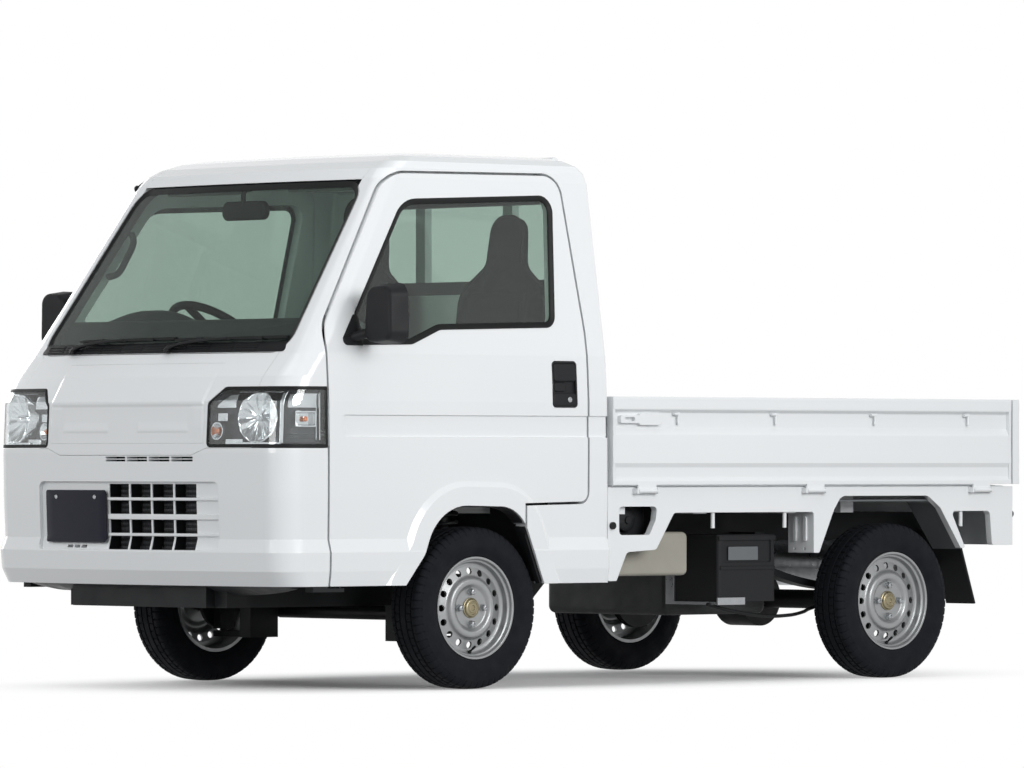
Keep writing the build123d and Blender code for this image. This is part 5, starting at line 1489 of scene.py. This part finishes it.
    def _cushion_channels(self, points: Array) -> Array:
        """Sewn channels on the cushion's top: each lowers it by a bell curve of its distance."""
        x, y, z = points.T
        rear, front, beside = mm(*self.cushion_seams)
        wide = self.channel_wide * MM
        out = np.abs(y - sum(self.seat_y) / 2 * MM)
        along = bell(out - beside, wide) * ramp(x - rear, 0.02) * ramp(front - x, 0.02)
        across = (bell(x - front, wide) + bell(x - rear, wide)) * ramp(beside + 0.005 - out, 0.006)
        drop = self.cushion_channel * MM * np.maximum(along, across) * ramp(z - self.cushion_crown * MM, 0.02)
        return points - drop[:, None] * UP

    def _back_channels(self, points: Array) -> Array:
        """Sewn channels on the back's front: two upright ones and one below the head."""
        up, way = self._back_ways()
        level, beside = mm(*self.back_seams)
        wide = self.channel_wide * MM
        out = np.abs(points[:, 1] - self.back_foot[1] * MM)
        height = (points - mm(*self.back_foot)) @ up
        upright = bell(out - beside, wide) * ramp(level - 0.005 - height, 0.02)
        head = bell(height - level, wide) * ramp(beside + 0.007 - out, 0.006)
        drop = self.back_channel * MM * np.maximum(upright, head) * ramp(0.035 - self._back_depth(points), 0.01)
        return points - drop[:, None] * way

    def _show(self, kind: str, side: Side, points: Array, faces: list, node: str) -> None:
        """Make one padded piece from swollen points.

        Args:
            kind: cushion or back.
            side: left or right seat.
            points: the left piece's points.
            faces: its faces.
            node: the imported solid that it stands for.
        """
        mesh = bpy.data.meshes.new(f"seat_{kind}_{side.word}")
        turned = faces if side.sign > 0 else [f[::-1] for f in faces]
        mesh.from_pydata((points * (1.0, side.sign, 1.0)).tolist(), [], turned)
        mesh.polygons.foreach_set("use_smooth", np.ones(len(mesh.polygons), bool))
        mesh.materials.append(SEAT_CLOTH.material())
        made = bpy.data.objects.new(mesh.name, mesh)
        bpy.context.scene.collection.objects.link(made)
        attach(made, "chassis")
        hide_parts(node)
        LOG.info("%s: %d faces on chassis", mesh.name, len(faces))

    def _piping(self, skin: Skin) -> None:
        """Welts sewn round the front edge of each back and the top edge of each cushion."""
        outline = self._back_outline(self.back_welt[0])
        rim = skin(outline[:, 0], outline[:, 1], np.full(len(outline), self.back_welt[1] * MM))
        top = self._cushion_outline(self.cushion_welt[0])
        edge = np.column_stack([top, np.full(len(top), (self.cushion_z[1] - self.cushion_welt[1]) * MM)])
        cords = [rod(rim, self.piping, 8, self._back_ways()[1], True), rod(edge, self.piping, 8, UP, True)]
        outer = [flat(mm(0, y, 0), BACK, UP) for y in self.hinge_y]
        hinges = [pad(plane, self.hinge_low, self.hinge_high, 20, 0, 14, 3) for plane in outer]
        paired("seat_piping", cords, BLACK_PLASTIC)
        paired("seat_hinges", hinges, BLACK_PLASTIC)


@dataclass
class Cabin:
    """Inside of the cab: linings, inner mirror, visors, grip, dashboard fittings, pedals and lever."""

    driver_y: float = -330.0
    mirror_at: Corner = (1182.0, 0.0, 1545.0)
    # Points of the grip on the pillar, mirrored to the passenger's side
    grip: tuple[float, ...] = (
        *(1268, 590, 1338, 1236, 572, 1352, 1206, 564, 1400),
        *(1182, 558, 1452, 1186, 566, 1488),
    )
    liner_x: Spot = (420.0, 1020.0)
    liner_half: float = 530.0
    liner_z: float = 1672.0
    hood_x: Spot = (1195.0, 1365.0)
    hood_z: Spot = (1166.0, 1184.0)
    hood_half: float = 175.0
    hood_rise: float = 52.0
    vents: tuple[float, ...] = (-560.0, -215.0, 135.0, 560.0)
    slat_rows: tuple[float, ...] = (1092.0, 1103.0, 1114.0, 1125.0)
    knobs: tuple[float, ...] = (-90.0, -20.0, 50.0)
    # Dials: place beside the column and radius
    dials: tuple[Spot, ...] = ((0, 34), (-74, 22), (74, 22))
    # Pedals: place across the truck and width
    pedals: tuple[Spot, ...] = ((-215, 52), (-315, 58), (-425, 58))

    def build(self) -> None:
        """Make everything inside the cab."""
        self._linings()
        self._mirror()
        self._dash()
        self._controls()

    def _linings(self) -> None:
        """Linings: a dark frame round the windscreen, the headliner, visors and the grip."""
        glass = Windows()
        screen, back = dense(rounded(glass.screen)), dense(rounded(glass.back))
        frame = band(screen, mm(-16, -12, 34, 34), mm(12, 52, 52, 45.6), CAB.front)
        rear = band(back, mm(22, 20, -22, -22), mm(13, 50, 50, 45.6), CAB.back)
        piece("window_linings", [frame, rear], TRIM_PLASTIC)
        (x0, x1), half, top = mm(*self.liner_x), self.liner_half * MM, self.liner_z * MM
        x, y = np.meshgrid(np.linspace(x0, x1, 25), np.linspace(-half, half, 41), indexing="ij")
        share = (2 * x - x0 - x1) / (x1 - x0)
        z = top - 0.018 * (np.abs(y) / half) ** 6 - 0.012 * share**4
        piece("headliner", slab(np.stack([x, y, z], axis=-1), (0.0, 0.0, 0.004)), HEADLINER)
        sheet = flat(mm(1098, 0, 1617), LEFT, (-0.966, 0, 0.259))
        paired("sun_visor", [pad(sheet, (110, 0), (500, 128), 26, 0, 15, 6)], HEADLINER)
        grip = rod(spline(rows_mm(3, *self.grip), 40), 11, 12, LEFT)
        piece("assist_grip", mirrored([grip], -1), TRIM_PLASTIC)

    def _mirror(self) -> None:
        """Inner mirror: a housing with round edges, its glass, and a bent stem to the roof's front."""
        x, y, z = self.mirror_at
        shape = rounded([(-112, -30, 24), (112, -30, 24), (104, 32, 26), (-104, 32, 26)])
        ahead = flat(mm(x, y, z), LEFT, UP)
        behind = flat(mm(x - 27, y, z), RIGHT, UP)
        stem = spline(rows_mm(3, x - 4, 0, z + 20, x - 4, 0, z + 55, x - 22, 0, z + 82, x - 52, 0, z + 96), 24)
        housing = [plate(dense(shape), 0, 27, 9, ahead), rod(stem, 8, 12, LEFT)]
        piece("inner_mirror", housing, BLACK_PLASTIC)
        glass = plate(dense(grown(shape, -6 * MM)), -1, 2, 1, behind)
        piece("inner_mirror_glass", [glass], MIRROR_GLASS)

    def _dash(self) -> None:
        """Dashboard fittings: instrument hood, vents with slats, switch panel with knobs, glovebox lid and dials."""
        across, along = np.meshgrid(np.linspace(-1, 1, 41), np.linspace(0, 1, 15), indexing="ij")
        (x0, x1), (z0, z1) = mm(*self.hood_x), mm(*self.hood_z)
        x, y = x0 + (x1 - x0) * along, (self.driver_y + self.hood_half * across) * MM
        rise = self.hood_rise * MM * (1 - np.abs(across) ** 3) * np.sin(math.pi * (0.15 + 0.85 * along)) ** 0.6
        hood = slab(np.stack([x, y, z0 + (z1 - z0) * along + rise], axis=-1), (0.004, 0.0, -0.012))
        face = flat(mm(1196, 0, 0), RIGHT, UP)
        lid = pad(face, (-590, 905), (-180, 1010), 18, -6, 10, 4)
        panel = pad(face, (-130, 950), (90, 1150), 14, -9, 10, 4)
        ring = [(0, -4), (26, -4), (27, -1), (32, -10), (40, -10), (42, 4)]
        grip = [(0, -30), (15, -29), (17, -26), (18, -8)]
        vents = [dish(face, (at, 1110), ring, 32) for at in self.vents]
        knobs = [dish(face, (at, 985), grip, 24) for at in self.knobs]
        slats = [pad(face, (at - 27, z), (at + 27, z + 3), 1, -7, -2, 1) for at in self.vents for z in self.slat_rows]
        piece("dash_fittings", [*hood, lid, panel], TRIM_PLASTIC)
        piece("dash_vents", [*vents, *slats, *knobs], BLACK_PLASTIC)
        cluster = flat(mm(1212, 0, 0), RIGHT, UP)
        dials = [
            dish(cluster, (at - self.driver_y, 1172), [(0, -1), (r, -1), (r + 3, -4), (r + 4, 2)], 36)
            for at, r in self.dials
        ]
        piece("dials", dials, SMOKED_PLASTIC)

    def _controls(self) -> None:
        """Stalks on the column, three pedals that hang from the dashboard, and the gear lever with its knob and boot.
        """
        hub = mm(1058, self.driver_y, 1082)
        reach = [hub + rows_mm(3, 0, 30 * s, 6, -8, 110 * s, 14, -26, 190 * s, 22) for s in (-1, 1)]
        stalks = [rod(spline(way, 20), 7, 10, (1, 0, 0.3)) for way in reach]
        pedals = []
        for y, wide in self.pedals:
            tread = flat(mm(1352, y, 560), RIGHT, (0.5, 0, 0.866))
            arm = rows_mm(3, 1360, y, 566, 1410, y, 650, 1430, y, 760, 1440, y, 900)
            pedals.append(pad(tread, (-wide / 2, -34), (wide / 2, 34), 9, -10, 4, 3))
            pedals.append(rod(spline(arm, 24), 8, 8, LEFT))
        lever = spline(rows_mm(3, 1010, -20, 380, 1000, -20, 520, 985, -24, 640, 955, -30, 760), 30)
        knob = rows_mm(2, 0, -6, 12, -4, 20, 6, 22, 20, 18, 36, 9, 44, 0, 46)
        boot = rows_mm(2, 62, 0, 56, 14, 50, 10, 44, 30, 38, 26, 32, 46, 26, 42, 20, 66, 10, 70, 0, 70)
        parts = [
            *stalks,
            *pedals,
            rod(lever, 8, 10, LEFT),
            lathe(knob, lever[-1], (-0.24, -0.05, 0.97), 28),
            lathe(boot, mm(1010, -20, 378), UP, 36),
        ]
        piece("controls", parts, BLACK_PLASTIC)


@dataclass
class Bed:
    """Load bed: ribbed deck sheet and lens sections of the tail lamps."""

    deck: tuple[float, float, float, float] = (-1648.0, -686.0, 186.0, 686.0)
    deck_z: float = 650.2
    rib_pitch: float = 98.0
    rib_height: float = 6.0
    rib_half: float = 665.0
    lens_z: Spot = (475.0, 542.0)
    lenses: tuple[Spot, Spot] = ((-655.0, -600.0), (-594.0, -548.0))

    def build(self) -> None:
        """Make the bed's pieces."""
        self._deck()
        self._lamps()

    def _deck(self) -> None:
        """Deck sheet: flat-topped ribs along the truck, from a clipped cosine across it."""
        x0, y0, x1, y1 = self.deck
        x, y = np.meshgrid(np.linspace(x0, x1, 40) * MM, np.linspace(y0, y1, 281) * MM, indexing="ij")
        wave = np.clip(2.4 * np.cos(math.tau * y / (self.rib_pitch * MM)) + 0.5, -0.5, 0.5) + 0.5
        ends = np.clip(np.minimum(x - x0 * MM, x1 * MM - x) / 0.05 - 0.3, 0, 1)
        rise = self.rib_height * MM * wave * ends * (np.abs(y) < self.rib_half * MM)
        sheet = slab(np.stack([x, y, self.deck_z * MM + 0.0006 + rise], axis=-1), (0.0, 0.0, -0.0005))
        piece("deck_sheet", sheet, BODY_PAINT)

    def _lamps(self) -> None:
        """Lens sections on the tail lamps."""
        rear = flat(mm(-1682.5, 0, 0), RIGHT, UP)
        (low, high), (turn, clear) = self.lens_z, self.lenses
        for name, ends, radius, finish in (("turn", turn, 7, AMBER_LENS), ("reverse", clear, 6, REFLECTOR)):
            paired(f"{name}_lens", [pad(rear, (ends[0], low), (ends[1], high), radius, -0.9, 0.5, 0.4)], finish)


@dataclass
class Underside:
    """Strut springs, battery box fittings, filler cap in its box, brake cable, and the aerial on the pillar."""

    kingpin: Spot = (804.0, 548.0)
    coil_z: Spot = (500.0, 610.0)
    coil_radius: float = 46.0
    coil_turns: float = 4.0
    # Points of the brake cable, from the battery tray to the rear axle
    cable: tuple[float, ...] = (
        *(-330, 600, 258, -433, 616, 234, -578, 620, 216, -700, 612, 217),
        *(-786, 590, 226, -850, 558, 236, -930, 548, 250, -1000, 545, 262),
    )
    patch: tuple[Spot, Spot] = ((390.0, 404.0), (527.0, 449.0))
    strap: tuple[Spot, Spot] = ((352.0, 372.0), (604.0, 384.0))
    lid: tuple[Spot, Spot] = ((346.0, 470.0), (609.0, 486.0))
    filler_at: Spot = (-92.0, 540.0)
    filler_box: tuple[Spot, Spot] = ((-188.0, 484.0), (2.0, 594.0))
    mast: tuple[float, ...] = (1122, -612, 1636, 1105, -614, 1650, 1053, -610, 1679)

    def build(self) -> None:
        """Make the pieces below the bed and the cab."""
        turn = np.linspace(0.0, math.tau * self.coil_turns, 140)
        x, y = self.kingpin
        ring = self.coil_radius * np.stack([np.cos(turn), np.sin(turn)], axis=1)
        helix = np.column_stack([x + ring[:, 0], y + ring[:, 1], np.linspace(*self.coil_z, 140)]) * MM
        seat = rows_mm(2, 20, -10, 56, -10, 58, -4, 50, 0, 20, 0)
        coil = [rod(helix, 6, 10, UP), lathe(seat, mm(x, y, self.coil_z[0] - 4), UP, 36)]
        paired("strut_spring", coil, CHASSIS_PAINT, "knuckle_{}")
        self._battery_and_filler()
        cable = spline(rows_mm(3, *self.cable), 70)
        piece("brake_cable", [rod(cable, 6, 12, UP)], SEAL_RUBBER)
        mast = rows_mm(3, *self.mast)
        foot = rows_mm(2, 11, -4, 11, 4, 8, 8, 5, 14, 0, 15)
        aerial = [rod(spline(mast, 24), 3.5, 10, LEFT), lathe(foot, mast[0], (-0.35, -0.75, 0.55), 24)]
        piece("aerial", aerial, BLACK_PLASTIC)

    def _battery_and_filler(self) -> None:
        """Lid, strap and blank patch on the battery box, and the filler cap in its box."""
        outer = flat(mm(0, 640, 0), BACK, UP)
        patch = pad(outer, *self.patch, 3, -0.8, 0.4, 0.4)
        strap = pad(outer, *self.strap, 3, -3, 1, 1.2)
        lid = pad(outer, *self.lid, 4, -3, 1, 1.2)
        piece("battery_patch", [patch], GREY_PRIMER)
        piece("battery_lid", [lid, strap], BLACK_PLASTIC)
        neck = flat(mm(0, 655, 0), BACK, UP)
        rows = [(0, -14), (12, -14), (13, -9), (32, -8), (38, -4), (40, 4), (40, 18)]
        piece("filler_cap", [dish(neck, self.filler_at, rows, 40, flute=0.8)], BLACK_PLASTIC)
        mouth = dense(box_outline(*self.filler_box, 16))
        floor = plate(mouth, 12, 15, 1, neck)
        walls = band(mouth, mm(0, 0, -2, -2), mm(13, -33, -33, 13), neck)
        piece("filler_box", [floor, walls], BLACK_PLASTIC)


def seen_directly(tree: bpy.types.NodeTree) -> Any:
    """One for rays from the camera, off gloss and through glass, and zero for bounced light.

    Args:
        tree: the node tree that gets the test.

    Returns:
        The socket with the answer.
    """
    path = add_node(tree, "ShaderNodeLightPath", {})
    answer = path.outputs["Is Camera Ray"]
    for ray in ("Is Glossy Ray", "Is Transmission Ray"):
        answer = add_node(tree, "ShaderNodeMath", {0: answer, 1: path.outputs[ray]}, operation="MAXIMUM").outputs[0]
    return answer


@dataclass
class Studio:
    """Camera at the photo's place, four soft lamps, a white surround and a pale floor."""

    camera_at: Corner = (17.017, 18.682, 0.732)
    camera_way: Corner = (-0.6734, -0.7393, 0.0)
    lens_mm: float = 264.8
    shift_y: float = 0.0759
    floor_half: float = 60.0
    shadow_reach: Spot = (0.5, 1.3)
    shadow_oval: Corner = (0.55, 1.0, 0.0)
    near_white: float = 0.06
    ceiling: float = 0.3
    ceiling_rise: Spot = (0.2, 0.6)
    daylight: float = 0.56
    sensor_mm: float = 36.0
    sight: float = 500.0

    def build(self) -> None:
        """Make the camera, lamps, world and floor."""
        scene = bpy.context.scene
        scene.view_settings.view_transform = "Standard"
        data = bpy.data.cameras.new("camera")
        data.sensor_width = self.sensor_mm
        data.lens = self.lens_mm
        data.shift_y = self.shift_y
        data.clip_end = self.sight
        camera = bpy.data.objects.new("camera", data)
        camera.location = self.camera_at
        yaw = math.atan2(self.camera_way[1], self.camera_way[0]) - math.pi / 2
        camera.rotation_euler = (math.pi / 2, 0.0, yaw)
        scene.collection.objects.link(camera)
        scene.camera = camera
        self._world(scene)
        self._lamps(scene)
        self._floor(scene)

    def _world(self, scene: bpy.types.Scene) -> None:
        """Even grey light; the camera, gloss and glass see it white, with a dim ceiling."""
        world = bpy.data.worlds.new("studio")
        tree = bare_tree(world)
        soft = {"Color": linear("#F4F6F8"), "Strength": self.daylight}
        shine = add_node(tree, "ShaderNodeBackground", soft).outputs[0]
        sky = add_node(tree, "ShaderNodeTexCoord", {}).outputs["Generated"]
        rise = add_node(tree, "ShaderNodeSeparateXYZ", {0: sky}).outputs["Z"]
        dim = spread(tree, rise, self.ceiling_rise, (1.0, self.ceiling))
        white = add_node(tree, "ShaderNodeBackground", {"Color": WHITE, "Strength": dim}).outputs[0]
        both = mixed(tree, seen_directly(tree), shine, white)
        add_node(tree, "ShaderNodeOutputWorld", {"Surface": both})
        scene.world = world

    def _lamps(self, scene: bpy.types.Scene) -> None:
        """Large soft lamps: one overhead, one on each side, one low ahead of the nose."""
        rows = (
            ("overhead", (0.6, 0.4, 6.0), (0.0, 0.0, 0.8), (6.5, 4.5), 78.0),
            ("side", (0.2, 7.6, 3.0), (-0.3, 0.0, 0.8), (5.0, 3.0), 330.0),
            ("nose", (7.5, 1.0, 2.6), (0.8, 0.0, 0.8), (3.0, 3.0), 114.0),
            ("far", (-0.3, -7.6, 3.0), (-0.3, 0.0, 0.8), (5.0, 3.0), 120.0),
        )
        for name, place, target, size, power in rows:
            data = bpy.data.lights.new(name, "AREA")
            data.shape = "RECTANGLE"
            data.size, data.size_y = size
            data.energy = power
            lamp = bpy.data.objects.new(name, data)
            way = np.array(target) - np.array(place)
            lamp.location = place
            lamp.rotation_euler = (
                math.atan2(math.hypot(way[0], way[1]), -way[2]),
                0.0,
                math.atan2(way[1], way[0]) - math.pi / 2,
            )
            scene.collection.objects.link(lamp)

    def _floor(self, scene: bpy.types.Scene) -> None:
        """Pale floor: a flat grid that is seen white far off and holds the shadow near the truck."""
        line = np.linspace(-self.floor_half, self.floor_half, 25)
        x, y = np.meshgrid(line, line, indexing="ij")
        grid = Patch(np.stack([x, y, np.zeros_like(x)], axis=-1))
        mesh = bpy.data.meshes.new("floor")
        mesh.from_pydata(grid.points.reshape(-1, 3).tolist(), [], grid.faces(0))
        floor = bpy.data.objects.new("floor", mesh)
        scene.collection.objects.link(floor)
        material = bpy.data.materials.new("pale_studio_floor")
        tree = bare_tree(material)
        place = add_node(tree, "ShaderNodeTexCoord", {}).outputs["Object"]
        speck = add_node(tree, "ShaderNodeTexNoise", {"Vector": place, "Scale": 0.7}).outputs["Fac"]
        tones = {0: speck, 6: linear("#FDFDFD"), 7: linear("#FAFAFA")}
        tone = add_node(tree, "ShaderNodeMix", tones, data_type="RGBA").outputs[2]
        matt = add_node(tree, "ShaderNodeBsdfDiffuse", {"Color": tone}).outputs[0]
        white = add_node(tree, "ShaderNodeEmission", {"Color": WHITE, "Strength": 1.0}).outputs[0]
        squeeze = {0: place, 1: self.shadow_oval}
        oval = add_node(tree, "ShaderNodeVectorMath", squeeze, operation="MULTIPLY").outputs["Vector"]
        reach = add_node(tree, "ShaderNodeVectorMath", {0: oval}, operation="LENGTH").outputs["Value"]
        far = spread(tree, reach, self.shadow_reach, (self.near_white, 1.0), interpolation_type="SMOOTHSTEP")
        dull = add_node(tree, "ShaderNodeBsdfDiffuse", {"Color": linear("#747576")}).outputs[0]
        both = mixed(tree, seen_directly(tree), dull, mixed(tree, far, matt, white))
        add_node(tree, "ShaderNodeOutputMaterial", {"Surface": both})
        mesh.materials.append(material)


def dress_nodes(nodes: dict[str, bpy.types.Object]) -> None:
    """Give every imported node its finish, by the longest start of its name.

    Args:
        nodes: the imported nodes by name.
    """
    finish_of = {start: finish for finish, starts in NODE_STARTS.items() for start in starts}
    for name, node in nodes.items():
        longest = max((start for start in finish_of if name.startswith(start)), key=len)
        node.data.materials.clear()
        node.data.materials.append(finish_of[longest].material())


def main() -> None:
    """Build the studio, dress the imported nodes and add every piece."""
    logging.basicConfig(level=logging.INFO, format="%(message)s")
    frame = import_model()
    Studio().build()
    dress_nodes(frame["nodes"])
    for group in (Headlamps, FrontTrim, Windows, Doors, Arches, Grille, Seats, Cabin, Bed, Underside):
        group().build()
    for side in SIDES:
        Wheel("front", side, 804.0).build()
        Wheel("rear", side, -1096.0).build()


if __name__ == "__main__":
    main()
